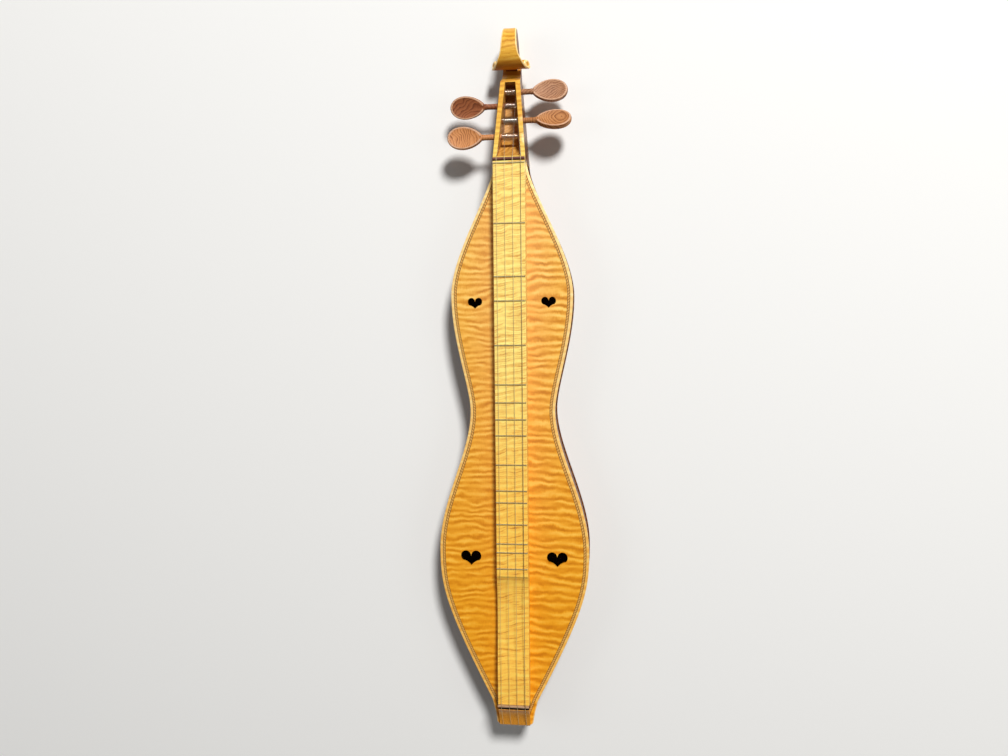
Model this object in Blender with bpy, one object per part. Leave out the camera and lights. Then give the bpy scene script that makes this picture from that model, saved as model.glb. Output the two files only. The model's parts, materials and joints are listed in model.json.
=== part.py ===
"""A mountain dulcimer with four strings, a carved scroll head and heart-shaped sound holes.

It lies on its back: +Z points up from the back to the fingerboard, +Y from the tail to the
scroll, and +X to the right of someone who looks down on it from the tail. A station is a
distance along the instrument from the tail end of the body. Everything is in metres.
"""

import math

import bmesh
import bpy
import numpy as np

# Lengths
SCALE_LENGTH = 0.6858
COMPENSATION = 0.0076
TAIL_LENGTH = 0.0329
HEAD_LENGTH = 0.1764
BODY_PAST_NUT = 0.0054

SADDLE_STATION = TAIL_LENGTH
ZERO_FRET_STATION = TAIL_LENGTH + COMPENSATION + SCALE_LENGTH
NECK_STATION = ZERO_FRET_STATION + BODY_PAST_NUT
BODY_LENGTH = NECK_STATION

# Body widths, with their places as parts of the body's length
LOWER_BOUT = 0.1952
LOWER_BOUT_SHARE = 0.3150
WAIST = 0.1100
WAIST_SHARE = 0.5644
UPPER_BOUT = 0.1574
UPPER_BOUT_SHARE = 0.7682
NECK_WIDTH = 0.0410
TAIL_WIDTH = 0.0460
TAIL_CORNER_WIDTH = 0.0596
TAIL_CORNER_STATION = 0.0315
TAIL_SIDE_HOLLOW = 0.0006
TAIL_ROUND_WIDTH = 0.0040
TAIL_ROUND_LENGTH = 0.0058

# Curves of the outline: slopes at its ends, and the reach of the two handles of each curve as
# parts of its run
TAIL_SLANT = 0.51
TAIL_HANDLES = (0.626, 0.239)
LOWER_HANDLES = (0.350, 0.292)
UPPER_HANDLES = (0.206, 0.392)
NECK_HANDLES = (0.325, 0.206)
NECK_LIFT = 0.010
OUTLINE_STEPS = (12, 11, 10, 11)
LEAST_STEP = 0.002

# Plates and ribs
BODY_DEPTH = 0.048
PLATE = 0.003
OVERHANG = 0.0015
RIB = 0.0025
GLUE_LINE = 0.0003
EDGE_ROUND = 0.0009
RIB_BOTTOM = PLATE + GLUE_LINE
RIB_TOP = BODY_DEPTH - PLATE - GLUE_LINE

# Inside of the body, with the braces' places as parts of the body's length
LINING_WIDTH = 0.005
LINING_HEIGHT = 0.007
TAIL_BLOCK_LENGTH = 0.038
HEEL_LENGTH = 0.034
BRACE_WIDTH = 0.007
BRACE_HEIGHT = 0.010
TOP_BRACE_SHARES = (0.19, 0.455, 0.675)
BACK_BRACE_SHARES = (0.21, 0.50, 0.795)

# Purfling, which leaves the outline at the tail's corner and runs in under the tailpiece
PURFLING_INSET = 0.0037
PURFLING_WIDTH = 0.0034
PURFLING_DEPTH = 0.0012
PURFLING_TAIL_STATION = 0.0105
PURFLING_TAIL_SLANT = 0.36
PURFLING_END = 0.004

# Sound holes, as part of the body's length, distance from the middle, width, length
LOWER_HEART = (0.3002, 0.0565, 0.0260, 0.0189)
UPPER_HEART = (0.7546, 0.0476, 0.0184, 0.0141)
HEART_POINTS = 30
HEART_WAVES = (13, -4.4, -3.1, -2.4)
HEART_POWER = 2.5

# Fingerboard
FINGERBOARD_WIDTH = 0.0404
FINGERBOARD_HEIGHT = 0.019
FINGERBOARD_TAIL_STATION = TAIL_LENGTH - 0.0052
FINGERBOARD_PAST_NUT = 0.0026
FINGERBOARD_ROUND = 0.0007
CHANNEL_WIDTH = 0.018
CHANNEL_HEIGHT = 0.008
CHANNEL_FROM_END = 0.040
BOARD_BOTTOM = BODY_DEPTH + GLUE_LINE
BOARD_TOP = BOARD_BOTTOM + FINGERBOARD_HEIGHT

# Strum hollow: where it starts and ends, and its two curves as parts of its run
HOLLOW_PAST_FRETS = 0.0100
HOLLOW_FROM_SADDLE = 0.0296
HOLLOW_DEPTH = 0.006
HOLLOW_LIP = 0.002
HOLLOW_RUN_OUT = 0.0005
HOLLOW_DROP = (0.03, 0.12, 0.30)
HOLLOW_RISE = (0.62, 0.18)

# Frets
FRET_WIDTH = 0.0016
FRET_HEIGHT = 0.0012
FRET_EDGE = 0.0001
FRET_TANG = 0.0006
FRET_TANG_DEPTH = 0.0015
FRET_TOP = BOARD_TOP + GLUE_LINE + FRET_HEIGHT
FRET_SEMITONES = (2, 4, 5, 7, 9, 10, 11, 12, 14, 16, 17, 19, 21, 22, 24)

# Nut, saddle and tailpiece
NUT_THICKNESS = 0.0029
NUT_FROM_FRET = 0.0053
NUT_STAND = 0.0021
SADDLE_THICKNESS = 0.0024
SADDLE_STAND = 0.0039
SADDLE_SEAT_DEPTH = 0.0070
BAR_INSET = 0.0001
TAILPIECE_FRONT_HEIGHT = 0.0182
TAILPIECE_END_HEIGHT = 0.0050
TAILPIECE_ROUND = 0.0015
TAILPIECE_FRONT_ROUND = 0.0008
TAILPIECE_HANDLES = ((0.40, 0.18), (0.70, 0.42))
NUT_TOP = BOARD_TOP + NUT_STAND
SADDLE_TOP = BOARD_TOP + SADDLE_STAND
TAILPIECE_END_TOP = BODY_DEPTH + TAILPIECE_END_HEIGHT

# Notches for the strings, whose floors fall at this angle in degrees
SLOT_DEPTH = 0.0006
SLOT_REACH = 0.004
SLOT_STEP = 0.0012
STRING_FALL = 36.0
NUT_FLOOR = NUT_TOP - SLOT_DEPTH
SADDLE_FLOOR = SADDLE_TOP - SLOT_DEPTH
TAILPIECE_FLOOR = TAILPIECE_END_TOP - SLOT_DEPTH

# Strings, from left to right
STRING_SPACING = 0.0102
STRING_DIAMETERS = (0.00045, 0.00045, 0.00050, 0.00075)
LOOP_POINTS = 24
LOOP_PITCH = 0.0018
LOOP_FROM_TAIL = 0.0009
LOOP_RISE = 0.007
EDGE_BEND = ((0.0, 0.0016), (0.0003, 0.0005), (0.0004, 0.0))
WINDING_TURNS = 5
WINDING_PITCH = 0.0026

# Hitch pins
PIN_DIAMETER = 0.0016
PIN_POINT = 0.0012
PIN_HEAD_DIAMETER = 0.0032
PIN_HEAD_LENGTH = 0.0009
PIN_HEAD_ROUND = 0.0003
PIN_STAND_OUT = 0.0052
PIN_DEPTH = 0.010
PIN_BELOW_TOP = 0.015
PIN_SIDES = 12
PIN_HEIGHT = BODY_DEPTH - PIN_BELOW_TOP

TOTAL_LENGTH = PIN_STAND_OUT + ZERO_FRET_STATION + HEAD_LENGTH
ORIGIN_STATION = TOTAL_LENGTH / 2 - PIN_STAND_OUT

# Headstock, with distances counted from the zero fret
NUT_SHELF_START = 0.0029
NUT_SHELF_BELOW_BOARD = 0.0053
PEGHEAD_WIDTH = 0.0410
PEGHEAD_END_WIDTH = 0.0256
PEGHEAD_UNDERSIDE = 0.0008
PEGHEAD_UNDERSIDE_RISE = 0.0037
PEGBOX_START = 0.0095
PEGBOX_END = 0.61 * HEAD_LENGTH
PEGBOX_END_WALL = 0.0018
PEGBOX_WALL_START = 0.0052
PEGBOX_WALL_END = 0.0062
PEGBOX_FALL = 0.0217
PEGBOX_BEND = 0.1
HEAD_EDGE = 0.0011
HEAD_STEP = 0.00005
NUT_SHELF = BOARD_TOP - NUT_SHELF_BELOW_BOARD
PEGBOX_END_TOP = NUT_SHELF - PEGBOX_FALL

# Floor of the pegbox, as distance past its start and depth below the nut's shelf
PEGBOX_FLOOR = (
    (0.0, 0.0012),
    (0.0075, 0.0085),
    (0.0156, 0.0165),
    (0.0191, 0.0245),
    (0.0251, 0.0345),
    (0.0381, 0.0405),
    (0.0681, 0.0455),
)
PEGBOX_DEPTH = 0.0480

# Throat between the pegbox and the scroll, as distance past the pegbox's end wall, half width,
# fall of its top and height of its underside
THROAT = (
    (0.0, 0.0126, 0.0004, 0.0046),
    (0.0016, 0.0125, 0.0048, 0.0048),
    (0.0046, 0.0123, 0.0110, 0.0050),
    (0.0090, 0.0120, 0.0162, 0.0053),
    (0.0142, 0.0118, 0.0200, 0.0056),
    (0.0200, 0.0116, 0.0217, 0.0062),
    (0.0260, 0.0115, 0.0223, 0.0075),
)

# Scroll
EYE_DISTANCE = 0.746 * HEAD_LENGTH
EYE_BELOW_SHELF = 0.029
EYE_RADIUS = 0.0050
EYE_WIDTH = 0.0498
EYE_STEP = 0.0002
EYE_ROUND = ((0.0026, 0.0002), (0.0008, 0.0012), (0.0, 0.0030))
SCROLL_DISH = 0.0024
SCROLL_EDGE = 0.0015
SCROLL_WEB = (0.45, 0.35)
SCROLL_STEPS = 36
CROWN = HEAD_LENGTH - EYE_DISTANCE
EYE_HEIGHT = NUT_SHELF - EYE_BELOW_SHELF

# The scroll's edge round the eye, as angle and radius, and as angle and half width. 0 degrees
# is the crown at the head end, 90 is up and 180 faces the pegbox.
SCROLL_RADII = (
    (-105, 0.0270),
    (-90, 0.0285),
    (-60, 0.0342),
    (-30, 0.0402),
    (-8, CROWN * 0.990),
    (8, CROWN * 0.985),
    (30, CROWN * 0.820),
    (60, CROWN * 0.580),
    (90, CROWN * 0.410),
    (120, CROWN * 0.280),
    (150, CROWN * 0.185),
    (180, EYE_RADIUS + 0.0014),
    (215, EYE_RADIUS + 0.0009),
    (250, EYE_RADIUS + 0.0008),
)
SCROLL_HALF_WIDTHS = (
    (-105, 0.0094),
    (-45, 0.0087),
    (0, 0.0086),
    (35, 0.0096),
    (60, 0.0110),
    (75, 0.0127),
    (90, 0.0157),
    (105, 0.0183),
    (120, 0.0207),
    (135, 0.0227),
    (165, 0.0241),
    (250, EYE_WIDTH / 2),
)

# Pegs, as part of the head's length past the zero fret, side, bare shaft outside the cheek and
# turn in degrees
PEGS = (
    (0.552, 1, 0.0154, 8.0),
    (0.448, -1, 0.0199, -15.0),
    (0.332, 1, 0.0172, 30.0),
    (0.215, -1, 0.0194, 0.0),
)
PEG_BELOW_CHEEK = 0.013
PEG_DIAMETER = 0.0072
PEG_TAPER = 1 / 30
PEG_CLEARANCE = 0.0003
PEG_TIP_ROUND = (0.0008, 0.0004)
PEG_SHOULDER = 0.001
PEG_COLLAR = (0.002, 0.0001)
PEG_ROD_IN_HEAD = 0.012
PEG_HEAD_LENGTH = 0.0468
PEG_HEAD_WIDTH = 0.0288
PEG_HEAD_IN_COLLAR = 0.0028
PEG_HEAD_MIDDLE = 0.56
PEG_HEAD_POINTS = 24
PEG_RIM_THICKNESS = 0.0072
PEG_DISH = 0.0012
TEARDROP = 0.38
ROUND_SIDES = 24

# Which peg, counted in PEGS, each string goes to
PEG_OF_STRING = (3, 1, 0, 2)

MAPLE = ("maple", (0.80, 0.46, 0.13), 0.35, 0.0)
MAPLE_SIDES = ("maple_sides", (0.62, 0.33, 0.10), 0.40, 0.0)
FINGERBOARD_WOOD = ("fingerboard_maple", (0.87, 0.62, 0.22), 0.35, 0.0)
SPRUCE = ("spruce", (0.78, 0.62, 0.38), 0.60, 0.0)
ROPE = ("rope_purfling", (0.36, 0.24, 0.12), 0.45, 0.0)
ROSEWOOD = ("rosewood", (0.33, 0.13, 0.06), 0.40, 0.0)
BONE = ("bone", (0.83, 0.78, 0.66), 0.35, 0.0)
STEEL = ("steel_wire", (0.60, 0.60, 0.60), 0.30, 1.0)
FRET_METAL = ("fret_wire", (0.66, 0.63, 0.56), 0.30, 1.0)


MERGE = 0.000002
CUT_PAST = 0.001


def clear_scene():
    for thing in list(bpy.data.objects):
        bpy.data.objects.remove(thing, do_unlink=True)


def world_y(station):
    return station - ORIGIN_STATION


def from_nut(distance):
    """World Y of a place on the headstock, at this distance past the zero fret."""
    return world_y(ZERO_FRET_STATION + distance)


def material(spec):
    name, colour, roughness, metallic = spec
    made = bpy.data.materials.get(name)
    if made is None:
        made = bpy.data.materials.new(name)
        made.use_nodes = True
        shader = made.node_tree.nodes["Principled BSDF"]
        shader.inputs["Base Color"].default_value = (*colour, 1.0)
        shader.inputs["Roughness"].default_value = roughness
        shader.inputs["Metallic"].default_value = metallic
        made.diffuse_color = (*colour, 1.0)
    return made


def add_object(name, mesh, spec=None, smooth=20.0):
    """Puts a bmesh into the scene, shaded smooth up to an angle in degrees."""
    bmesh.ops.recalc_face_normals(mesh, faces=mesh.faces)
    data = bpy.data.meshes.new(name)
    mesh.to_mesh(data)
    mesh.free()
    data.shade_smooth()
    data.set_sharp_from_angle(angle=math.radians(smooth))
    made = bpy.data.objects.new(name, data)
    bpy.context.scene.collection.objects.link(made)
    if spec:
        data.materials.append(material(spec))
    return made


def add_copy(name, first):
    """One more of a repeated piece, which shares its mesh."""
    made = bpy.data.objects.new(name, first.data)
    bpy.context.scene.collection.objects.link(made)
    return made


def add_cutter(name, mesh):
    cutter = add_object(name, mesh)
    cutter.hide_render = True
    cutter.display_type = "WIRE"
    return cutter


def boolean(target, tool, operation="DIFFERENCE"):
    step = target.modifiers.new(tool.name, "BOOLEAN")
    step.object = tool
    step.operation = operation
    step.solver = "EXACT"


def extrude_outline(mesh, outline, low, high, lift=lambda a, b, h: (a, b, h)):
    """Adds a closed prism: the outline (a, b) at low and at high, turned into space by lift."""
    count = len(outline)
    bottom = [mesh.verts.new(lift(a, b, low)) for a, b in outline]
    top = [mesh.verts.new(lift(a, b, high)) for a, b in outline]
    faces = [mesh.faces.new(bottom[::-1]), mesh.faces.new(top)]
    for i in range(count):
        j = (i + 1) % count
        faces.append(mesh.faces.new((bottom[i], bottom[j], top[j], top[i])))
    return bottom, top, faces


def across(y, z, x):
    """Lifts a (Y, Z) profile to the place x across the instrument."""
    return x, y, z


def box(mesh, low, high):
    """Adds a box between two corners."""
    outline = ((low[0], low[1]), (high[0], low[1]), (high[0], high[1]), (low[0], high[1]))
    return extrude_outline(mesh, outline, low[2], high[2])


def loft(mesh, rings):
    """Adds a closed skin over rings that all have the same number of points."""
    made = [[mesh.verts.new(point) for point in ring] for ring in rings]
    mesh.faces.new(made[0][::-1])
    mesh.faces.new(made[-1])
    count = len(made[0])
    for one, two in zip(made, made[1:]):
        for i in range(count):
            j = (i + 1) % count
            mesh.faces.new((one[i], one[j], two[j], two[i]))
    return made


def bezier(start, start_handle, end_handle, end, steps):
    """Points of a cubic curve, without its last one."""
    points = []
    for i in range(steps):
        t = i / steps
        weights = ((1 - t) ** 3, 3 * (1 - t) ** 2 * t, 3 * (1 - t) * t**2, t**3)
        controls = (start, start_handle, end_handle, end)
        points.append(tuple(sum(w * c[k] for w, c in zip(weights, controls)) for k in (0, 1)))
    return points


def body_outline(detail):
    """Edge of the plates on the right side, as (station, half width) from tail to neck."""
    corner = (TAIL_CORNER_STATION, TAIL_CORNER_WIDTH / 2)
    lower = (LOWER_BOUT_SHARE * BODY_LENGTH, LOWER_BOUT / 2)
    waist = (WAIST_SHARE * BODY_LENGTH, WAIST / 2)
    upper = (UPPER_BOUT_SHARE * BODY_LENGTH, UPPER_BOUT / 2)
    neck = (NECK_STATION, NECK_WIDTH / 2)
    tail_side = (TAIL_CORNER_STATION / 2, (TAIL_WIDTH + TAIL_CORNER_WIDTH) / 4 - TAIL_SIDE_HOLLOW)
    points = [(0.0, TAIL_WIDTH / 2), tail_side]
    curves = (
        (corner, lower, TAIL_HANDLES, TAIL_SLANT, 0.0),
        (lower, waist, LOWER_HANDLES, 0.0, 0.0),
        (waist, upper, UPPER_HANDLES, 0.0, 0.0),
        (upper, neck, NECK_HANDLES, 0.0, NECK_LIFT / NECK_HANDLES[1]),
    )
    for (start, end, handles, start_slope, end_slope), steps in zip(curves, OUTLINE_STEPS):
        run = end[0] - start[0]
        leave = handles[0] * run
        arrive = handles[1] * run
        start_handle = (start[0] + leave, start[1] + leave * start_slope)
        end_handle = (end[0] - arrive, end[1] + arrive * end_slope)
        points += bezier(start, start_handle, end_handle, end, steps * detail)
    points.append(neck)
    return points


STATIONS = [station for station, _ in body_outline(1)]
FINE_OUTLINE = np.array(body_outline(12))


def half_width(station, inset=0.0):
    """Half width of the body at a station, at a distance inside the edge of the plates."""
    steps = np.gradient(FINE_OUTLINE, axis=0)
    steps /= np.linalg.norm(steps, axis=1)[:, None]
    normals = np.stack([steps[:, 1], -steps[:, 0]], axis=1)
    moved = FINE_OUTLINE + normals * inset
    return float(np.interp(station, moved[:, 0], moved[:, 1]))


def stations_between(start, end):
    inside = [station for station in STATIONS if start + LEAST_STEP < station < end - LEAST_STEP]
    return [start, *inside, end]


def edge_line(side, inset, start, end):
    """Points (x, y) along one side of the body at this inset."""
    return [
        (side * half_width(station, inset), world_y(station))
        for station in stations_between(start, end)
    ]


def side_strip(mesh, side, outer_inset, inner_inset, start, end, low, high):
    """Adds a strip that follows the body's side between two insets."""
    outer = edge_line(side, outer_inset, start, end)
    inner = edge_line(side, inner_inset, start, end)
    extrude_outline(mesh, outer + inner[::-1], low, high)


def purfling_strip(mesh, side, clearance, high):
    """Adds the purfling, or with a clearance its channel."""
    low = BODY_DEPTH - PURFLING_DEPTH - clearance
    tail = PURFLING_TAIL_STATION - clearance
    end = NECK_STATION - PURFLING_END + clearance
    lines = []
    for inset in (PURFLING_INSET - clearance, PURFLING_INSET + PURFLING_WIDTH + clearance):
        line = edge_line(side, inset, TAIL_CORNER_STATION, end)
        corner_x, corner_y = line[0]
        run = corner_y - world_y(tail)
        lines.append([(corner_x - side * PURFLING_TAIL_SLANT * run, world_y(tail)), *line])
    outer, inner = lines
    extrude_outline(mesh, outer + inner[::-1], low, high)


def heart_outline(middle_x, middle_y, width, length):
    """A heart whose lobes point to the head and whose tip points to the tail."""
    points = []
    for i in range(HEART_POINTS):
        t = 2 * math.pi * i / HEART_POINTS
        out = math.copysign(abs(math.sin(t)) ** HEART_POWER, math.sin(t))
        up = sum(wave * math.cos((k + 1) * t) for k, wave in enumerate(HEART_WAVES))
        points.append((out, up))
    low = min(up for _, up in points)
    high = max(up for _, up in points)
    middle = (low + high) / 2
    size = length / (high - low)
    return [(middle_x + width / 2 * out, middle_y + size * (up - middle)) for out, up in points]


def plate_half(name, side, low, high, rounded_edge, spec):
    """One bookmatched half of the soundboard or the back."""
    mesh = bmesh.new()
    edge = edge_line(side, 0.0, TAIL_ROUND_LENGTH, NECK_STATION)
    seam = GLUE_LINE / 2 * side
    corner_x, corner_y = edge[0]
    rounding = []
    for i in range(4):
        turn = math.pi / 2 * i / 4
        x = corner_x - side * TAIL_ROUND_WIDTH * (1 - math.sin(turn))
        rounding.append((x, corner_y - TAIL_ROUND_LENGTH * math.cos(turn)))
    edge = rounding + edge
    outline = edge + [(seam, world_y(NECK_STATION)), (seam, world_y(0.0))]
    bottom, top, _ = extrude_outline(mesh, outline, low, high)
    ring = top if rounded_edge == high else bottom
    rim = [mesh.edges.get((ring[i], ring[i + 1])) for i in range(len(edge) - 1)]
    bmesh.ops.bevel(mesh, geom=rim, offset=EDGE_ROUND, segments=2, profile=0.5, affect="EDGES")
    return add_object(name, mesh, spec)


def soundboard():
    for word, side in (("left", -1), ("right", 1)):
        half = plate_half(
            f"soundboard_{word}", side, BODY_DEPTH - PLATE, BODY_DEPTH, BODY_DEPTH, MAPLE
        )
        cuts = bmesh.new()
        for share, middle, width, length in (LOWER_HEART, UPPER_HEART):
            middle_y = world_y(share * BODY_LENGTH)
            outline = heart_outline(side * middle, middle_y, width, length)
            extrude_outline(cuts, outline, BODY_DEPTH - 2 * PLATE, BODY_DEPTH + PLATE)
        purfling_strip(cuts, side, GLUE_LINE, BODY_DEPTH + PLATE)
        boolean(half, add_cutter(f"cut_soundboard_{word}", cuts))


def back():
    for word, side in (("left", -1), ("right", 1)):
        plate_half(f"back_{word}", side, 0.0, PLATE, 0.0, MAPLE_SIDES)


def sides_and_linings():
    rib_outer = OVERHANG
    rib_inner = OVERHANG + RIB
    lining_outer = rib_inner + GLUE_LINE
    lining_inner = lining_outer + LINING_WIDTH
    start = TAIL_BLOCK_LENGTH + GLUE_LINE
    end = NECK_STATION - HEEL_LENGTH - GLUE_LINE
    for word, side in (("left", -1), ("right", 1)):
        mesh = bmesh.new()
        side_strip(mesh, side, rib_outer, rib_inner, OVERHANG, NECK_STATION, RIB_BOTTOM, RIB_TOP)
        add_object(f"rib_{word}", mesh, MAPLE_SIDES)
        for kind, low, high in (
            ("back", RIB_BOTTOM, RIB_BOTTOM + LINING_HEIGHT),
            ("top", RIB_TOP - LINING_HEIGHT, RIB_TOP),
        ):
            mesh = bmesh.new()
            side_strip(mesh, side, lining_outer, lining_inner, start, end, low, high)
            add_object(f"{kind}_lining_{word}", mesh, SPRUCE)


def braces():
    inset = OVERHANG + RIB + GLUE_LINE + LINING_WIDTH + GLUE_LINE
    for kind, shares, low, high in (
        ("top", TOP_BRACE_SHARES, RIB_TOP - BRACE_HEIGHT, RIB_TOP),
        ("back", BACK_BRACE_SHARES, RIB_BOTTOM, RIB_BOTTOM + BRACE_HEIGHT),
    ):
        for number, share in enumerate(shares, start=1):
            mesh = bmesh.new()
            front = share * BODY_LENGTH + BRACE_WIDTH / 2
            rear = share * BODY_LENGTH - BRACE_WIDTH / 2
            reach = [half_width(place, inset) for place in (rear, front)]
            outline = (
                (-reach[0], world_y(rear)),
                (reach[0], world_y(rear)),
                (reach[1], world_y(front)),
                (-reach[1], world_y(front)),
            )
            extrude_outline(mesh, outline, low, high)
            add_object(f"{kind}_brace_{number}", mesh, SPRUCE)


def purfling():
    for word, side in (("left", -1), ("right", 1)):
        mesh = bmesh.new()
        purfling_strip(mesh, side, 0.0, BODY_DEPTH)
        add_object(f"purfling_{word}", mesh, ROPE)


def string_x(index):
    return (index - (len(STRING_DIAMETERS) - 1) / 2) * STRING_SPACING


def cylinder_y(mesh, x, start, end, radius):
    """Adds a cylinder along Y at the hitch pins' height, between two stations."""
    outline = []
    for i in range(PIN_SIDES):
        turn = 2 * math.pi * i / PIN_SIDES
        outline.append((x + radius * math.cos(turn), PIN_HEIGHT + radius * math.sin(turn)))
    extrude_outline(mesh, outline, world_y(start), world_y(end), lambda a, b, h: (a, h, b))


def tail_block():
    inset = OVERHANG + RIB + GLUE_LINE
    mesh = bmesh.new()
    places = stations_between(OVERHANG, TAIL_BLOCK_LENGTH)
    right = [(half_width(place, inset), world_y(place)) for place in places]
    left = [(-x, y) for x, y in right]
    extrude_outline(mesh, right + left[::-1], RIB_BOTTOM, RIB_TOP)
    block = add_object("tail_block", mesh, MAPLE_SIDES)
    holes = bmesh.new()
    reach = PIN_DEPTH + GLUE_LINE
    for index in range(len(STRING_DIAMETERS)):
        cylinder_y(holes, string_x(index), -reach, reach, PIN_DIAMETER / 2 + GLUE_LINE)
    boolean(block, add_cutter("cut_pin_holes", holes))


def hitch_pins():
    """Four round nails in the end face of the tail block, turned from one profile."""
    mesh = bmesh.new()
    neck = PIN_HEAD_LENGTH - PIN_STAND_OUT
    profile = (
        (PIN_DEPTH, 0.0),
        (PIN_DEPTH - PIN_POINT, PIN_DIAMETER / 2),
        (neck, PIN_DIAMETER / 2),
        (neck, PIN_HEAD_DIAMETER / 2),
        (PIN_HEAD_ROUND - PIN_STAND_OUT, PIN_HEAD_DIAMETER / 2),
        (-PIN_STAND_OUT, PIN_HEAD_DIAMETER / 2 - PIN_HEAD_ROUND),
        (-PIN_STAND_OUT, 0.0),
    )
    points = [mesh.verts.new((radius, along, 0.0)) for along, radius in profile]
    edges = [mesh.edges.new(pair) for pair in zip(points, points[1:])]
    bmesh.ops.spin(
        mesh,
        geom=points + edges,
        cent=(0, 0, 0),
        axis=(0, 1, 0),
        angle=2 * math.pi,
        steps=PIN_SIDES,
        use_merge=True,
    )
    bmesh.ops.remove_doubles(mesh, verts=mesh.verts, dist=MERGE)
    first = add_object("hitch_pin_1", mesh, STEEL)
    for index in range(len(STRING_DIAMETERS)):
        pin = first if index == 0 else add_copy(f"hitch_pin_{index + 1}", first)
        pin.location = (string_x(index), world_y(0.0), PIN_HEIGHT)


def fret_station(semitones):
    return ZERO_FRET_STATION - SCALE_LENGTH * (1 - 2 ** (-semitones / 12))


def fret(name):
    """One fret, with its middle at Y = 0: a round crown over a flat tang."""
    mesh = bmesh.new()
    seat = BOARD_TOP + GLUE_LINE
    outline = [
        (-FRET_WIDTH / 2, seat),
        (-FRET_TANG / 2, seat),
        (-FRET_TANG / 2, BOARD_TOP - FRET_TANG_DEPTH),
        (FRET_TANG / 2, BOARD_TOP - FRET_TANG_DEPTH),
        (FRET_TANG / 2, seat),
    ]
    for i in range(6):
        turn = math.pi * i / 5
        crown = FRET_EDGE + (FRET_HEIGHT - FRET_EDGE) * math.sin(turn)
        outline.append((FRET_WIDTH / 2 * math.cos(turn), seat + crown))
    reach = FINGERBOARD_WIDTH / 2 - GLUE_LINE
    extrude_outline(mesh, outline, -reach, reach, across)
    return add_object(name, mesh, FRET_METAL)


def frets():
    zero = fret("zero_fret")
    zero.location.y = world_y(ZERO_FRET_STATION)
    for number, semitones in enumerate(FRET_SEMITONES, start=1):
        add_copy(f"fret_{number}", zero).location.y = world_y(fret_station(semitones))


def strum_hollow(mesh):
    """Adds the scoop: it drops quickly at its head end and runs out slowly to the tail."""
    start = fret_station(FRET_SEMITONES[-1]) - HOLLOW_PAST_FRETS
    end = SADDLE_STATION + HOLLOW_FROM_SADDLE
    run = start - end
    floor = BOARD_TOP - HOLLOW_DEPTH
    lip, deep, level = (start - share * run for share in HOLLOW_DROP)
    leave = start - HOLLOW_RISE[0] * run
    arrive = end + HOLLOW_RISE[1] * run
    points = bezier(
        (start, BOARD_TOP),
        (lip, floor + HOLLOW_LIP),
        (deep, floor),
        (level, floor),
        7,
    )
    points += bezier(
        (level, floor),
        (leave, floor),
        (arrive, BOARD_TOP - HOLLOW_RUN_OUT),
        (end, BOARD_TOP),
        9,
    )
    above = BOARD_TOP + HOLLOW_DEPTH
    points += [(end, BOARD_TOP), (end, above), (start, above)]
    outline = [(world_y(station), z) for station, z in points]
    reach = FINGERBOARD_WIDTH / 2 + CUT_PAST
    extrude_outline(mesh, outline, -reach, reach, across)


def fingerboard():
    mesh = bmesh.new()
    reach = FINGERBOARD_WIDTH / 2
    tail = world_y(FINGERBOARD_TAIL_STATION)
    head = from_nut(FINGERBOARD_PAST_NUT)
    _, top, _ = box(mesh, (-reach, tail, BOARD_BOTTOM), (reach, head, BOARD_TOP))
    long_edges = [mesh.edges.get((top[1], top[2])), mesh.edges.get((top[3], top[0]))]
    bmesh.ops.bevel(
        mesh,
        geom=long_edges,
        offset=FINGERBOARD_ROUND,
        segments=2,
        profile=0.5,
        affect="EDGES",
    )
    board = add_object("fingerboard", mesh, FINGERBOARD_WOOD)
    cuts = bmesh.new()
    strum_hollow(cuts)
    slot = FRET_TANG / 2 + GLUE_LINE
    past = reach + CUT_PAST
    above = BOARD_TOP + CUT_PAST
    for semitones in (0, *FRET_SEMITONES):
        y = world_y(fret_station(semitones))
        low = (-past, y - slot, BOARD_TOP - FRET_TANG_DEPTH - GLUE_LINE)
        box(cuts, low, (past, y + slot, above))
    front = world_y(SADDLE_STATION) + SADDLE_THICKNESS / 2 + GLUE_LINE
    low = (-past, tail - CUT_PAST, BOARD_TOP - SADDLE_SEAT_DEPTH)
    box(cuts, low, (past, front, above))
    half = CHANNEL_WIDTH / 2
    low = (-half, tail + CHANNEL_FROM_END, BOARD_BOTTOM - CUT_PAST)
    box(cuts, low, (half, head - CHANNEL_FROM_END, BOARD_BOTTOM + CHANNEL_HEIGHT))
    boolean(board, add_cutter("cut_fingerboard", cuts))


def string_slots(name, target, floor):
    """Cuts one notch for each string into the target's top, above a floor of (y, z) points."""
    cuts = bmesh.new()
    above = max(z for _, z in floor) + 10 * SLOT_DEPTH
    outline = [*floor, (floor[-1][0], above), (floor[0][0], above)]
    for index, diameter in enumerate(STRING_DIAMETERS):
        half = diameter / 2 + GLUE_LINE
        x = string_x(index)
        extrude_outline(cuts, outline, x - half, x + half, across)
    boolean(target, add_cutter(name, cuts))


def crown_bar(name, y, low, high, thickness, spec):
    """A bar across the strings with a round top edge."""
    mesh = bmesh.new()
    half = thickness / 2
    crown = 0.6 * half
    outline = [(y - half, low), (y + half, low)]
    for i in range(7):
        turn = math.pi * i / 6
        outline.append((y + half * math.cos(turn), high - crown + crown * math.sin(turn)))
    reach = FINGERBOARD_WIDTH / 2 - BAR_INSET
    extrude_outline(mesh, outline, -reach, reach, across)
    return add_object(name, mesh, spec)


SLOT_FALL = SLOT_REACH * math.tan(math.radians(STRING_FALL))


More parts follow.
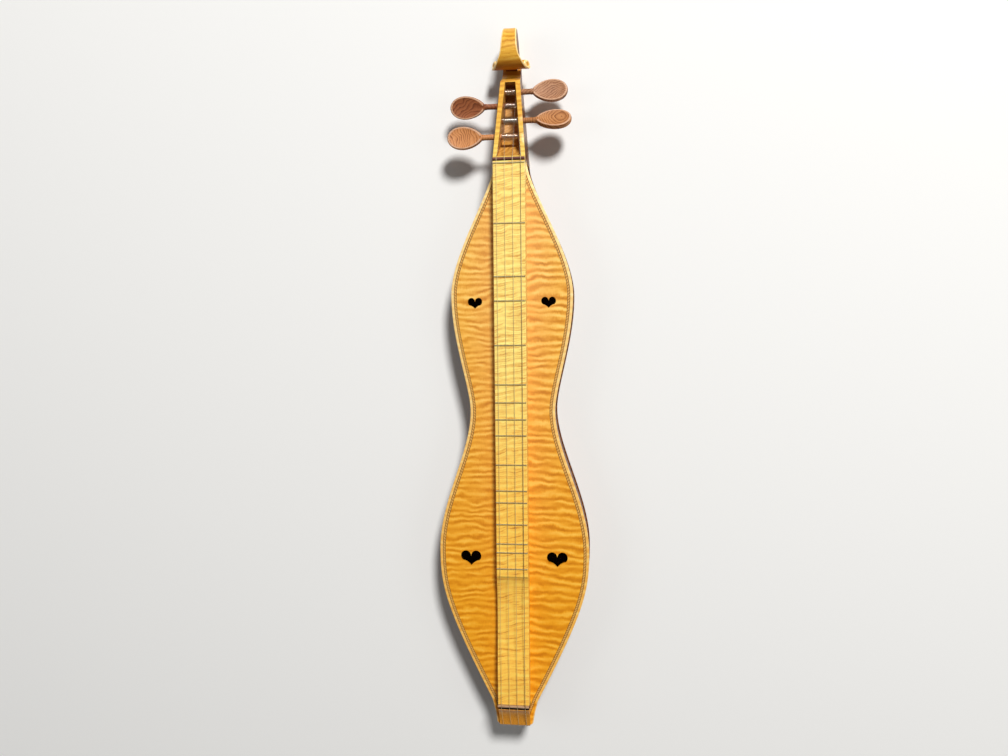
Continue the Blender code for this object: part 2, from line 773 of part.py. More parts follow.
def nut_and_saddle():
    y = from_nut(NUT_FROM_FRET)
    nut = crown_bar("nut", y, NUT_SHELF + GLUE_LINE, NUT_TOP, NUT_THICKNESS, ROSEWOOD)
    floor = (
        (y - SLOT_REACH, NUT_FLOOR),
        (y, NUT_FLOOR),
        (y + SLOT_REACH, NUT_FLOOR - SLOT_FALL),
    )
    string_slots("cut_nut", nut, floor)
    y = world_y(SADDLE_STATION)
    seat = BOARD_TOP - SADDLE_SEAT_DEPTH + GLUE_LINE
    saddle = crown_bar("saddle", y, seat, SADDLE_TOP, SADDLE_THICKNESS, BONE)
    floor = (
        (y - SLOT_REACH, SADDLE_FLOOR - SLOT_FALL),
        (y, SADDLE_FLOOR),
        (y + SLOT_REACH, SADDLE_FLOOR),
    )
    string_slots("cut_saddle", saddle, floor)


def tailpiece():
    """The block behind the saddle: its top falls in a hollow curve to the tail end."""
    mesh = bmesh.new()
    front = FINGERBOARD_TAIL_STATION - GLUE_LINE
    front_top = BODY_DEPTH + TAILPIECE_FRONT_HEIGHT
    fall = front_top - TAILPIECE_END_TOP
    low, high = ((x * front, TAILPIECE_END_TOP + z * fall) for x, z in TAILPIECE_HANDLES)
    crest = (front - TAILPIECE_FRONT_ROUND, front_top)
    top = bezier((TAILPIECE_ROUND, TAILPIECE_END_TOP), low, high, crest, 8)
    outline = [
        (0.0, BOARD_BOTTOM),
        (0.0, TAILPIECE_END_TOP - TAILPIECE_ROUND),
        *top,
        crest,
        (front, front_top - TAILPIECE_FRONT_ROUND),
        (front, BOARD_BOTTOM),
    ]
    outline = [(world_y(station), z) for station, z in outline]
    reach = FINGERBOARD_WIDTH / 2 - GLUE_LINE
    extrude_outline(mesh, outline, -reach, reach, across)
    wedge = add_object("tailpiece", mesh, FINGERBOARD_WOOD)
    y = world_y(0.0)
    floor = (
        (y - SLOT_REACH, TAILPIECE_FLOOR - SLOT_STEP),
        (y, TAILPIECE_FLOOR - SLOT_STEP),
        (y + SLOT_STEP, TAILPIECE_FLOOR),
        (y + SLOT_STEP + SLOT_REACH, TAILPIECE_FLOOR + SLOT_FALL),
    )
    string_slots("cut_tailpiece", wedge, floor)


def along_pegbox(distance):
    """A place along the pegbox, from 0 at its start to 1 at its end."""
    share = (distance - PEGBOX_START) / (PEGBOX_END - PEGBOX_START)
    return min(max(share, 0.0), 1.0)


def cheek_top(distance):
    """Height of the pegbox's cheeks at a distance past the zero fret."""
    share = along_pegbox(distance)
    return NUT_SHELF - PEGBOX_FALL * ((1 - PEGBOX_BEND) * share + PEGBOX_BEND * share**2)


def peghead_half(distance):
    """Half width of the pegbox's outside at a distance past the zero fret."""
    share = along_pegbox(distance)
    return (PEGHEAD_WIDTH + (PEGHEAD_END_WIDTH - PEGHEAD_WIDTH) * share) / 2


def box_half(distance):
    """Half width of the pegbox's inside."""
    wall = PEGBOX_WALL_START + (PEGBOX_WALL_END - PEGBOX_WALL_START) * along_pegbox(distance)
    return peghead_half(distance) - wall


def rectangle_ring(half, y, low, high):
    return ((-half, y, low), (half, y, low), (half, y, high), (-half, y, high))


def peghead_mesh():
    """The pegbox's outer form, the throat and the neck of the scroll, as one skin."""
    mesh = bmesh.new()
    bottom = PEGHEAD_UNDERSIDE
    plain = peghead_half(0.0)
    body_end = BODY_PAST_NUT + GLUE_LINE
    rings = [
        rectangle_ring(plain, from_nut(NUT_SHELF_START), BOARD_BOTTOM, NUT_SHELF),
        rectangle_ring(plain, from_nut(body_end), BOARD_BOTTOM, NUT_SHELF),
        rectangle_ring(plain, from_nut(body_end + HEAD_STEP), bottom, NUT_SHELF),
    ]
    steps = 8
    for i in range(steps + 1):
        distance = PEGBOX_START + (PEGBOX_END - PEGBOX_START) * i / steps
        low = bottom + PEGHEAD_UNDERSIDE_RISE * (i / steps) ** 3
        half = peghead_half(distance)
        rings.append(rectangle_ring(half, from_nut(distance), low, cheek_top(distance)))
    for past, half, fall, low in THROAT:
        y = from_nut(PEGBOX_END + PEGBOX_END_WALL + past)
        rings.append(rectangle_ring(half, y, low, PEGBOX_END_TOP - fall))
    made = loft(mesh, rings)
    softened = []
    for one, two in zip(made[2:], made[3:]):
        for corner in range(4):
            softened.append(mesh.edges.get((one[corner], two[corner])))
    bmesh.ops.bevel(
        mesh, geom=softened, offset=HEAD_EDGE, segments=2, profile=0.5, affect="EDGES"
    )
    return mesh


def spiral(knots, turn):
    """A smooth curve through (angle, value) knots, from the cubic through the four nearest."""
    angles = [knot[0] for knot in knots]
    k = max(0, min(len(knots) - 2, int(np.searchsorted(angles, turn)) - 1))
    slopes = []
    for i in (k, k + 1):
        before = max(0, i - 1)
        after = min(len(knots) - 1, i + 1)
        slopes.append((knots[after][1] - knots[before][1]) / (angles[after] - angles[before]))
    span = angles[k + 1] - angles[k]
    t = (turn - angles[k]) / span
    value = (2 * t**3 - 3 * t**2 + 1) * knots[k][1] + (3 * t**2 - 2 * t**3) * knots[k + 1][1]
    return value + span * ((t**3 - 2 * t**2 + t) * slopes[0] + (t**3 - t**2) * slopes[1])


def scroll_mesh():
    """The scroll: one turn that narrows to its crown and flares out into the eye's two ears."""
    mesh = bmesh.new()
    rings = []
    eye = EYE_RADIUS
    boss = EYE_WIDTH / 2
    first = SCROLL_RADII[0][0]
    last = SCROLL_RADII[-1][0]
    middle_y = from_nut(EYE_DISTANCE)
    eye_side = [(eye - inside, boss - down) for inside, down in EYE_ROUND]
    for i in range(SCROLL_STEPS + 1):
        turn = first + (last - first) * i / SCROLL_STEPS
        rim = spiral(SCROLL_RADII, turn)
        half = spiral(SCROLL_HALF_WIDTHS, turn)
        depth = min(SCROLL_DISH, (rim - eye) / 3)
        edge = min(SCROLL_EDGE, (rim - eye) / 2)
        web = min(half - depth, eye_side[-1][1])
        reach = rim - edge - eye
        side = (
            (0.0, boss),
            *eye_side,
            (eye + EYE_STEP, web),
            (eye + SCROLL_WEB[0] * reach, web + SCROLL_WEB[1] * (half - web)),
            (rim - edge, half),
            (rim, half - edge),
        )
        loop = [(r, x) for r, x in side] + [(r, -x) for r, x in side[::-1]]
        angle = math.radians(turn)
        rings.append(
            [
                (x, middle_y + r * math.cos(angle), EYE_HEIGHT + r * math.sin(angle))
                for r, x in loop
            ]
        )
    loft(mesh, rings)
    bmesh.ops.remove_doubles(mesh, verts=mesh.verts, dist=MERGE)
    bmesh.ops.triangulate(mesh, faces=[face for face in mesh.faces if len(face.verts) > 4])
    return mesh


def pegbox_cavity():
    """The inside of the pegbox: a ramp down from the nut, then a floor that falls slowly."""
    mesh = bmesh.new()
    floor = [(PEGBOX_START + past, depth) for past, depth in PEGBOX_FLOOR]
    floor.append((PEGBOX_END, PEGBOX_DEPTH))
    above = NUT_SHELF + HEAD_EDGE * 2
    rings = []
    for distance, depth in floor:
        half = box_half(distance)
        rings.append(rectangle_ring(half, from_nut(distance), NUT_SHELF - depth, above))
    loft(mesh, rings)
    return mesh


def peg_distance(peg):
    return PEGS[peg][0] * HEAD_LENGTH


def peg_axis(peg):
    """World Y and Z of a peg's axis."""
    distance = peg_distance(peg)
    return from_nut(distance), cheek_top(distance) - PEG_BELOW_CHEEK


def peg_radius(peg, x):
    """Radius of a peg's tapered shaft at the place x across the pegbox."""
    outside = peghead_half(peg_distance(peg)) - PEGS[peg][1] * x
    return PEG_DIAMETER / 2 - PEG_TAPER / 2 * outside


def cone_x(mesh, y, z, ends):
    """Adds a round tapered rod along X through (x, radius) ends."""
    rings = []
    for x, radius in ends:
        ring = []
        for i in range(ROUND_SIDES):
            turn = 2 * math.pi * i / ROUND_SIDES
            ring.append((x, y + radius * math.cos(turn), z + radius * math.sin(turn)))
        rings.append(ring)
    loft(mesh, rings)


def headstock():
    head = add_object("headstock", peghead_mesh(), FINGERBOARD_WOOD)
    inset = OVERHANG + RIB + GLUE_LINE
    mesh = bmesh.new()
    places = stations_between(NECK_STATION - HEEL_LENGTH, NECK_STATION)
    right = [(half_width(place, inset), world_y(place)) for place in places]
    right.append((right[-1][0], from_nut(PEGBOX_START)))
    left = [(-x, y) for x, y in right]
    extrude_outline(mesh, right + left[::-1], RIB_BOTTOM, RIB_TOP)
    boolean(head, add_cutter("join_heel", mesh), "UNION")
    boolean(head, add_cutter("join_scroll", scroll_mesh()), "UNION")
    boolean(head, add_cutter("cut_pegbox", pegbox_cavity()))
    holes = bmesh.new()
    reach = PEGHEAD_WIDTH / 2 + CUT_PAST
    for peg in range(len(PEGS)):
        y, z = peg_axis(peg)
        ends = [(x, peg_radius(peg, x) + PEG_CLEARANCE) for x in (-reach, reach)]
        cone_x(holes, y, z, ends)
    boolean(head, add_cutter("cut_peg_holes", holes))


def teardrop(share):
    """Half width of a peg's head, as a part of its largest, at a share of its length."""
    turn = math.acos(1 - 2 * share)
    widest = math.acos(-TEARDROP / (2 + TEARDROP))
    largest = math.sin(widest) * math.sin(widest / 2) ** TEARDROP
    return math.sin(turn) * math.sin(turn / 2) ** TEARDROP / largest


def peg_head_mesh(side, start):
    """The flat head: a teardrop with a thick round rim and a dished middle on both faces."""
    mesh = bmesh.new()
    outline = []
    for i in range(PEG_HEAD_POINTS):
        turn = 2 * math.pi * i / PEG_HEAD_POINTS
        share = (1 - math.cos(turn)) / 2
        sign = 1 if turn < math.pi else -1
        outline.append((share * PEG_HEAD_LENGTH, sign * teardrop(share) * PEG_HEAD_WIDTH / 2))
    middle = PEG_HEAD_MIDDLE * PEG_HEAD_LENGTH
    rim = PEG_RIM_THICKNESS / 2
    face = (
        (0.50, rim - PEG_DISH),
        (0.80, rim - 0.4 * PEG_DISH),
        (0.92, rim),
        (1.0, rim * 0.45),
    )
    sections = list(face) + [(scale, -height) for scale, height in face[::-1]]
    rings = []
    for scale, height in sections:
        rings.append(
            [
                (side * (start + middle + scale * (along - middle)), scale * out, height)
                for along, out in outline
            ]
        )
    loft(mesh, rings)
    return mesh


def pegs():
    for peg, (_, side, bare, turn) in enumerate(PEGS):
        y, z = peg_axis(peg)
        near = peghead_half(peg_distance(peg))
        collar = near + bare
        tip = -near
        round_length, round_depth = PEG_TIP_ROUND
        collar_length, collar_swell = PEG_COLLAR
        places = (
            (tip, peg_radius(peg, side * tip) - round_depth),
            (tip + round_length, peg_radius(peg, side * (tip + round_length))),
            (near + PEG_SHOULDER, PEG_DIAMETER / 2),
            (collar - collar_length, PEG_DIAMETER / 2 + collar_swell),
            (collar + PEG_ROD_IN_HEAD, PEG_RIM_THICKNESS / 2 - PEG_DISH),
        )
        mesh = bmesh.new()
        cone_x(mesh, 0.0, 0.0, [(side * along, radius) for along, radius in places])
        made = add_object(f"tuning_peg_{peg + 1}", mesh, ROSEWOOD, smooth=50.0)
        head = peg_head_mesh(side, collar - PEG_HEAD_IN_COLLAR)
        head = add_cutter(f"join_peg_head_{peg + 1}", head)
        boolean(made, head, "UNION")
        for thing in (made, head):
            thing.location = (0.0, y, z)
            thing.rotation_euler = (-math.radians(turn), 0.0, 0.0)


def winding(index, diameter, nut_point):
    """The turns on the peg, starting where the straight string meets them."""
    peg = PEG_OF_STRING[index]
    y, z = peg_axis(peg)
    side = PEGS[peg][1]
    start_x = side * WINDING_PITCH * WINDING_TURNS / 2
    largest = peg_radius(peg, start_x) + PEG_CLEARANCE + diameter / 2
    away = math.hypot(nut_point[1] - y, nut_point[2] - z)
    towards = math.atan2(nut_point[2] - z, nut_point[1] - y)
    first = towards - math.acos(largest / away)
    points = []
    for i in range(WINDING_TURNS * LOOP_POINTS + 1):
        turns = i / LOOP_POINTS
        x = start_x - side * WINDING_PITCH * turns
        radius = peg_radius(peg, x) + PEG_CLEARANCE + diameter / 2
        angle = first - 2 * math.pi * turns
        points.append((x, y + radius * math.cos(angle), z + radius * math.sin(angle)))
    return points


def hitch_loop(index, diameter):
    """The loop round the hitch pin, ending on its way up to the tailpiece."""
    radius = PIN_DIAMETER / 2 + GLUE_LINE + diameter / 2
    x = string_x(index)
    points = []
    for i in range(LOOP_POINTS + 1):
        share = i / LOOP_POINTS
        turn = 2 * math.pi * share
        station = -LOOP_FROM_TAIL - diameter / 2 - LOOP_PITCH * (1 - share)
        height = PIN_HEIGHT + radius * math.sin(turn)
        points.append((x + radius * math.cos(turn), world_y(station), height))
    return points


def least_gap(points, diameter, apart):
    """Least distance between a tube's surface and its own surface some points further on."""
    places = np.array(points)
    least = 1.0
    for i in range(len(places) - apart):
        distances = np.linalg.norm(places[i + apart :] - places[i], axis=1)
        least = min(least, float(distances.min()))
    return least - diameter


def string_route(index, diameter):
    """The string's middle line, as its loop, the points it bends at and its winding."""
    x = string_x(index)
    lift = GLUE_LINE + diameter / 2
    loop = hitch_loop(index, diameter)
    edge_z = TAILPIECE_FLOOR + lift
    zero = (x, world_y(ZERO_FRET_STATION), FRET_TOP + lift)
    nut = (x, from_nut(NUT_FROM_FRET), NUT_FLOOR + lift)
    wound = winding(index, diameter, nut)
    out = NUT_THICKNESS / 2 + GLUE_LINE
    fall = (nut[2] - wound[0][2]) / (wound[0][1] - nut[1])
    bends = [
        (x, world_y(-lift), PIN_HEIGHT + LOOP_RISE),
        (x, world_y(-lift), edge_z - EDGE_BEND[0][1]),
        (x, world_y(EDGE_BEND[1][0] - lift), edge_z - EDGE_BEND[1][1]),
        (x, world_y(EDGE_BEND[2][0]), edge_z),
        (x, world_y(SADDLE_STATION), SADDLE_FLOOR + lift),
        zero,
        nut,
        (x, nut[1] + out, nut[2] - out * fall),
    ]
    return loop, bends, wound


def strings():
    for index, diameter in enumerate(STRING_DIAMETERS):
        name = f"string_{index + 1}"
        loop, bends, wound = string_route(index, diameter)
        route = [*loop, *bends, *wound]
        curve = bpy.data.curves.new(name, "CURVE")
        curve.dimensions = "3D"
        curve.bevel_depth = diameter / 2
        curve.bevel_resolution = 1
        curve.use_fill_caps = True
        line = curve.splines.new("POLY")
        line.points.add(len(route) - 1)
        for point, place in zip(line.points, route):
            point.co = (*place, 1.0)
        curve.materials.append(material(STEEL))
        made = bpy.data.objects.new(name, curve)
        bpy.context.scene.collection.objects.link(made)
        apart = LOOP_POINTS // 2
        gap = min(least_gap(wound, diameter, apart), least_gap(loop, diameter, apart))
        print(f"{name}: {WINDING_TURNS} turns, least gap to itself {gap * 1000:.2f} mm")


def main():
    clear_scene()
    back()
    sides_and_linings()
    soundboard()
    purfling()
    braces()
    tail_block()
    hitch_pins()
    fingerboard()
    frets()
    nut_and_saddle()
    tailpiece()
    headstock()
    pegs()
    strings()


main()
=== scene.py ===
# %% [markdown]
# # A mountain dulcimer, dressed
#
# The solids of the instrument are loaded first and stay where they are. Each lesson below then
# gives one piece or one finish the look of the real one. Lengths are in metres, +Y runs along
# the strings from the tail to the scroll and +Z points up from the back to the fingerboard.

# %% Load the solids and keep their box
import json
import math

import bmesh
import bpy
import numpy as np
from mathutils import Matrix, Vector


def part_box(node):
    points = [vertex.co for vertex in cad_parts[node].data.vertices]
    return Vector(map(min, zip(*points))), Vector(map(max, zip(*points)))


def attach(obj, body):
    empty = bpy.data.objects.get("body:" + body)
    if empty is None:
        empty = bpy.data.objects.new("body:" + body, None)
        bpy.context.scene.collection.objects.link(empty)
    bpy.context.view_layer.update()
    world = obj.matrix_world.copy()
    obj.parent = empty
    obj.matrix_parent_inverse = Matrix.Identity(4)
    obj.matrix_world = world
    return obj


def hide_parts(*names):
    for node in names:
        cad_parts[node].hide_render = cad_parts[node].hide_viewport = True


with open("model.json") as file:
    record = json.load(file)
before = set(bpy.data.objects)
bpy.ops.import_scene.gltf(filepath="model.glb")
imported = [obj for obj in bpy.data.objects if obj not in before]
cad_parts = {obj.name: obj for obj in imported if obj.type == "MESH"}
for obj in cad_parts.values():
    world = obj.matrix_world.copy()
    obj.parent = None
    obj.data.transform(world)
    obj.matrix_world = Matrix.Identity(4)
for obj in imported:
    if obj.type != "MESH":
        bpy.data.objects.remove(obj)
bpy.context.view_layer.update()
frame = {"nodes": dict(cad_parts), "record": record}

scene = bpy.context.scene

# %% [markdown]
# ## The camera
#
# The picture was taken from nearly straight above, a little to the right of the middle and
# nearer to the head than to the tail. A lens of about 28 mm on a 36 mm sensor gives the
# widening of the lower bout and the view into the pegbox. The camera is set first.

# %% Set the camera
PICTURE_WIDTH = 1008
FOCAL_PIXELS = 800.0
camera_data = bpy.data.cameras.new("camera")
camera_data.sensor_width = 36.0
camera_data.lens = FOCAL_PIXELS / PICTURE_WIDTH * camera_data.sensor_width
camera = bpy.data.objects.new("camera", camera_data)
camera.location = (0.1182, 0.05625, 1.0716)
camera.rotation_mode = "ZYX"
camera.rotation_euler = (math.radians(-2.75), math.radians(7.17), math.radians(-0.22))
scene.collection.objects.link(camera)
scene.camera = camera
print("lens in mm:", round(camera_data.lens, 2))

# %% [markdown]
# ## Working by hand, in code
#
# Operators act on what is selected, and the solids come in selected. So one helper selects a
# single piece, and two more open it in edit mode and close it again with its seams merged and
# its faces turned outwards. The last one gives a finished piece its finish, its body and the
# solid it stands for.

# %% Helpers for modelling
MERGE = 0.00001


def only(piece):
    bpy.ops.object.select_all(action="DESELECT")
    piece.select_set(True)
    bpy.context.view_layer.objects.active = piece


def new_piece(name, points, faces):
    """A piece from a few points and faces, linked and selected."""
    mesh = bpy.data.meshes.new(name)
    mesh.from_pydata(points, [], faces)
    piece = bpy.data.objects.new(name, mesh)
    scene.collection.objects.link(piece)
    only(piece)
    return piece


def edit(piece, select="SELECT"):
    only(piece)
    bpy.ops.object.mode_set(mode="EDIT")
    bpy.ops.mesh.select_all(action=select)


def close_edit():
    bpy.ops.mesh.select_all(action="SELECT")
    bpy.ops.mesh.remove_doubles(threshold=MERGE)
    bpy.ops.mesh.normals_make_consistent(inside=False)
    bpy.ops.object.mode_set(mode="OBJECT")


def select_edges(piece, wanted):
    """Selects the edges whose two ends together fulfil a condition, in edit mode."""
    bpy.ops.mesh.select_mode(type="EDGE")
    bpy.ops.mesh.select_all(action="DESELECT")
    mesh = bmesh.from_edit_mesh(piece.data)
    for edge in mesh.edges:
        edge.select_set(wanted(edge.verts[0].co, edge.verts[1].co))
    bmesh.update_edit_mesh(piece.data)


def loft(name, rings):
    """A skin over rings of points that is closed at both ends."""
    count = len(rings[0])
    last = (len(rings) - 1) * count
    faces = [range(count), range(last, last + count)]
    for start in range(0, last, count):
        for i in range(count):
            j = (i + 1) % count
            faces.append((start + i, start + j, start + count + j, start + count + i))
    piece = new_piece(name, [point for ring in rings for point in ring], faces)
    edit(piece)
    close_edit()
    return piece


def drawn_box(name, sections):
    """A square face drawn out along Y through sections of (y, half width, low, high)."""
    bpy.ops.object.select_all(action="DESELECT")
    bpy.ops.mesh.primitive_plane_add(size=2.0, rotation=(math.pi / 2, 0.0, 0.0))
    piece = bpy.context.object
    piece.name = name
    bpy.ops.object.transform_apply(rotation=True)
    edit(piece)
    middle, half, tall = Vector((0.0, 0.0, 0.0)), 1.0, 1.0
    for i, (y, next_half, low, high) in enumerate(sections):
        next_middle = Vector((0.0, y, (low + high) / 2))
        next_tall = (high - low) / 2
        step = next_middle - middle
        if i == 0:
            bpy.ops.transform.translate(value=step)
        else:
            bpy.ops.mesh.extrude_region_move(TRANSFORM_OT_translate={"value": step})
        size = (next_half / half, 1.0, next_tall / tall)
        bpy.ops.transform.resize(value=size, center_override=next_middle)
        middle, half, tall = next_middle, next_half, next_tall
    close_edit()
    return piece


def cut(piece, tool, operation="DIFFERENCE"):
    """Applies a boolean and removes its tool."""
    step = piece.modifiers.new("cut", "BOOLEAN")
    step.object = tool
    step.operation = operation
    step.solver = "EXACT"
    only(piece)
    bpy.ops.object.modifier_apply(modifier=step.name)
    bpy.data.objects.remove(tool, do_unlink=True)


def smooth(piece, degrees=30.0):
    only(piece)
    bpy.ops.object.shade_smooth_by_angle(angle=math.radians(degrees))


def give(piece, *finishes):
    """Fills the material slots of a piece that has none yet."""
    if not piece.data.materials:
        for finish in finishes:
            piece.data.materials.append(finish)


def place(piece, finishes, body, slot, *nodes):
    """Gives a piece its finishes, the body it rides on and the nodes it replaces; the slot is not used."""
    give(piece, *finishes)
    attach(piece, body)
    if nodes:
        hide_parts(*nodes)
    print(piece.name, "triangles:", sum(len(face.vertices) - 2 for face in piece.data.polygons))


# %% [markdown]
# ## Colours and nodes
#
# A colour is written as the hex value that a picture of it shows, and one function turns it
# into the linear value that a shader wants. One more function adds a node, sets its values and
# makes its links, so that a material reads as a short list.

# %% Helpers for colours and nodes
MM = 1000.0


def linear(hex_colour, alpha=1.0):
    parts = [int(hex_colour[i : i + 2], 16) / 255 for i in (1, 3, 5)]
    bent = [p / 12.92 if p <= 0.04045 else ((p + 0.055) / 1.055) ** 2.4 for p in parts]
    return (*bent, alpha)


def add_node(tree, kind, settings=None, inputs=None):
    """Adds a node: settings are its properties, inputs are values or links for its sockets."""
    node = tree.nodes.new(kind)
    for name, value in (settings or {}).items():
        setattr(node, name, value)
    for name, value in (inputs or {}).items():
        if isinstance(value, bpy.types.NodeSocket):
            tree.links.new(value, node.inputs[name])
        else:
            node.inputs[name].default_value = value
    return node


def math_node(tree, operation, *values):
    inputs = dict(enumerate(values))
    return add_node(tree, "ShaderNodeMath", {"operation": operation}, inputs).outputs[0]


def noise_at(tree, vector, size_mm, detail=2.0, roughness=0.5, kind="Fac"):
    """Noise whose blobs are about size_mm (x, y, z) in millimetres."""
    scale = tuple(MM / size for size in size_mm)
    stretched = add_node(tree, "ShaderNodeMapping", None, {"Vector": vector, "Scale": scale})
    inputs = {"Vector": stretched.outputs[0], "Scale": 1.0, "Detail": detail}
    inputs["Roughness"] = roughness
    return add_node(tree, "ShaderNodeTexNoise", None, inputs).outputs[kind]


def new_finish(name, roughness, metallic=0.0):
    finish = bpy.data.materials.new(name)
    finish.use_nodes = True
    shader = finish.node_tree.nodes["Principled BSDF"]
    shader.inputs["Roughness"].default_value = roughness
    shader.inputs["Metallic"].default_value = metallic
    return finish, finish.node_tree, shader


def ramp(tree, source, stops):
    """A colour ramp through (place, hex colour) stops."""
    node = add_node(tree, "ShaderNodeValToRGB", None, {"Fac": source})
    elements = node.color_ramp.elements
    elements[0].position, elements[0].color = stops[0][0], linear(stops[0][1])
    elements[1].position, elements[1].color = stops[-1][0], linear(stops[-1][1])
    for where, colour in stops[1:-1]:
        elements.new(where).color = linear(colour)
    return node.outputs["Color"]


print("amber in linear light:", [round(v, 3) for v in linear("#ea9d2d")])

# %% [markdown]
# ## Curly maple under amber varnish
#
# The soundboard, the head and the fingerboard are maple with a strong curl: the fibres wave
# like a washboard, so bands of light and dark wood lie across the grain, 5 to 8 mm apart. The
# bands are a sine along the strings whose place is pushed about by a slow noise, which makes
# them wander and fork, and whose strength comes and goes with another one. Fine noise that is
# stretched across gives the silk in the bands, and noise stretched along the strings gives the
# pores. Two ramps are mixed along Y. On the soundboard, its edging and the fingerboard the
# head end is paler and the tail end a deeper amber: a painted sheen, the glare of the lamp
# beyond the head. Some finishes also mix in a dark colour along Y as painted shade. The
# edging is the same wood with less varnish on it. The rounded edges of the head take the pale
# ramps of the edging as a painted highlight.

# %% Make the curly maple finishes
def curly_maple(name, stops, band_mm, seed, tilt=0.0, drift=(0.26, -0.32), **look):
    """Maple whose curl lies across Y; stops are the ramps for the head end and the tail end."""
    usual = {"wander": 0.026, "ragged": 0.0022, "curl": 0.62, "silk": 0.30, "grain": 0.16}
    look = usual | {"fine": 0.0, "coat": 0.15, "specular": 0.5} | look
    finish, tree, shader = new_finish(name, look.get("roughness", 0.36))
    where = add_node(tree, "ShaderNodeTexCoord").outputs["Object"]
    moved = add_node(tree, "ShaderNodeVectorMath", {"operation": "ADD"}, {0: where})
    moved.inputs[1].default_value = (seed, 2.7 * seed, 0.6 * seed)
    spot = moved.outputs[0]
    parts = add_node(tree, "ShaderNodeSeparateXYZ", None, {0: spot})
    level = math_node(tree, "MULTIPLY_ADD", parts.outputs["X"], -tilt, parts.outputs["Y"])
    level = math_node(tree, "MULTIPLY_ADD", parts.outputs["Z"], 0.35, level)
    slow = noise_at(tree, spot, (60.0, 38.0, 60.0), 2.0)
    quick = noise_at(tree, spot, (13.0, 9.0, 13.0), 2.0)
    ragged = noise_at(tree, spot, (1.6, 7.0, 1.6), 2.0)
    for part, reach in ((slow, look["wander"]), (quick, 0.0058), (ragged, look["ragged"])):
        level = math_node(tree, "MULTIPLY_ADD", part, reach, level)
    turn = math_node(tree, "MULTIPLY", level, 2 * math.pi * MM / band_mm)
    wave = math_node(tree, "SINE", turn)
    strength = noise_at(tree, spot, (26.0, 14.0, 26.0), 2.0)
    shown = add_node(
        tree,
        "ShaderNodeMapRange",
        None,
        {"Value": strength, "From Min": 0.35, "From Max": 0.62, "To Min": 0.12, "To Max": 0.5},
    ).outputs[0]
    shown = math_node(tree, "MULTIPLY", shown, look["curl"])
    figure = math_node(tree, "MULTIPLY_ADD", wave, shown, 0.5)
    silk = noise_at(tree, spot, (24.0, 4.6, 24.0), 2.0)
    grain = noise_at(tree, spot, (0.9, 6.0, 0.9), 3.0, 0.6)
    for part, share in ((silk, look["silk"]), (grain, look["grain"])):
        centred = math_node(tree, "SUBTRACT", part, 0.5)
        figure = math_node(tree, "MULTIPLY_ADD", centred, 2 * share, figure)
    if look["fine"]:
        lines = math_node(tree, "SINE", math_node(tree, "MULTIPLY", turn, 2.7))
        lines = math_node(tree, "POWER", math_node(tree, "MULTIPLY_ADD", lines, 0.5, 0.5), 2.0)
        depth = {"Value": quick, "From Min": 0.38, "From Max": 0.60, "To Min": 0.1, "To Max": 1.6}
        depth = add_node(tree, "ShaderNodeMapRange", None, depth).outputs[0]
        lines = math_node(tree, "MULTIPLY", lines, depth)
        figure = math_node(tree, "MULTIPLY_ADD", lines, -look["fine"], figure)
    along = add_node(tree, "ShaderNodeSeparateXYZ", None, {0: where}).outputs["Y"]
    towards_tail = add_node(
        tree,
        "ShaderNodeMapRange",
        {"interpolation_type": "SMOOTHSTEP"},
        {"Value": along, "From Min": drift[0], "From Max": drift[1]},
    ).outputs[0]
    head_colour, tail_colour = (ramp(tree, figure, part) for part in stops)
    mixed = add_node(
        tree,
        "ShaderNodeMix",
        {"data_type": "RGBA"},
        {0: towards_tail, 6: head_colour, 7: tail_colour},
    ).outputs[2]
    if "blush" in look:
        away = math_node(tree, "ABSOLUTE", add_node(tree, "ShaderNodeSeparateXYZ", None, {0: where}).outputs[0])
        reach = {"Value": away, "From Min": 0.062, "From Max": 0.014, "To Max": look["blush"]}
        blush = add_node(tree, "ShaderNodeMapRange", None, reach).outputs[0]
        head_end = math_node(tree, "SUBTRACT", 1.0, towards_tail)
        blush = math_node(tree, "MULTIPLY", blush, head_end)
        layers = {0: blush, 6: mixed, 7: linear("#e3a26c")}
        mixed = add_node(tree, "ShaderNodeMix", {"data_type": "RGBA"}, layers).outputs[2]
    # painted shade: a dark colour mixed in from one place along Y to another, only where Y is past a third
    # place
    if "stain" in look:
        clear, full, end, colour = look["stain"]
        reach = {"Value": along, "From Min": clear, "From Max": full}
        smooth_step = {"interpolation_type": "SMOOTHSTEP"}
        stained = add_node(tree, "ShaderNodeMapRange", smooth_step, reach).outputs[0]
        before = math_node(tree, "GREATER_THAN", along, end)
        stained = math_node(tree, "MULTIPLY", stained, before)
        layers = {0: stained, 6: mixed, 7: linear(colour)}
        mixed = add_node(tree, "ShaderNodeMix", {"data_type": "RGBA"}, layers).outputs[2]
    tree.links.new(mixed, shader.inputs["Base Color"])
    shader.inputs["Coat Weight"].default_value = look["coat"]
    shader.inputs["Coat Roughness"].default_value = 0.15
    shader.inputs["Specular IOR Level"].default_value = look["specular"]
    return finish


# Of each pair of ramps the first is for the head end and the second for the tail end. On the soundboard, its
# edging and the fingerboard the paler head ramp is a painted sheen, the glare of the lamp beyond the head.
TOP_STOPS = (
    ((0.0, "#c27a1c"), (0.3, "#df9a34"), (0.6, "#f5bc56"), (1.0, "#ffd97c")),
    ((0.0, "#cd7b02"), (0.3, "#df8c0a"), (0.6, "#f2a41c"), (1.0, "#ffc042")),
)
RIM_STOPS = (
    ((0.0, "#e4b468"), (0.5, "#fad488"), (1.0, "#ffefb0")),
    ((0.0, "#dd9634"), (0.5, "#f5b752"), (1.0, "#ffdc80")),
)
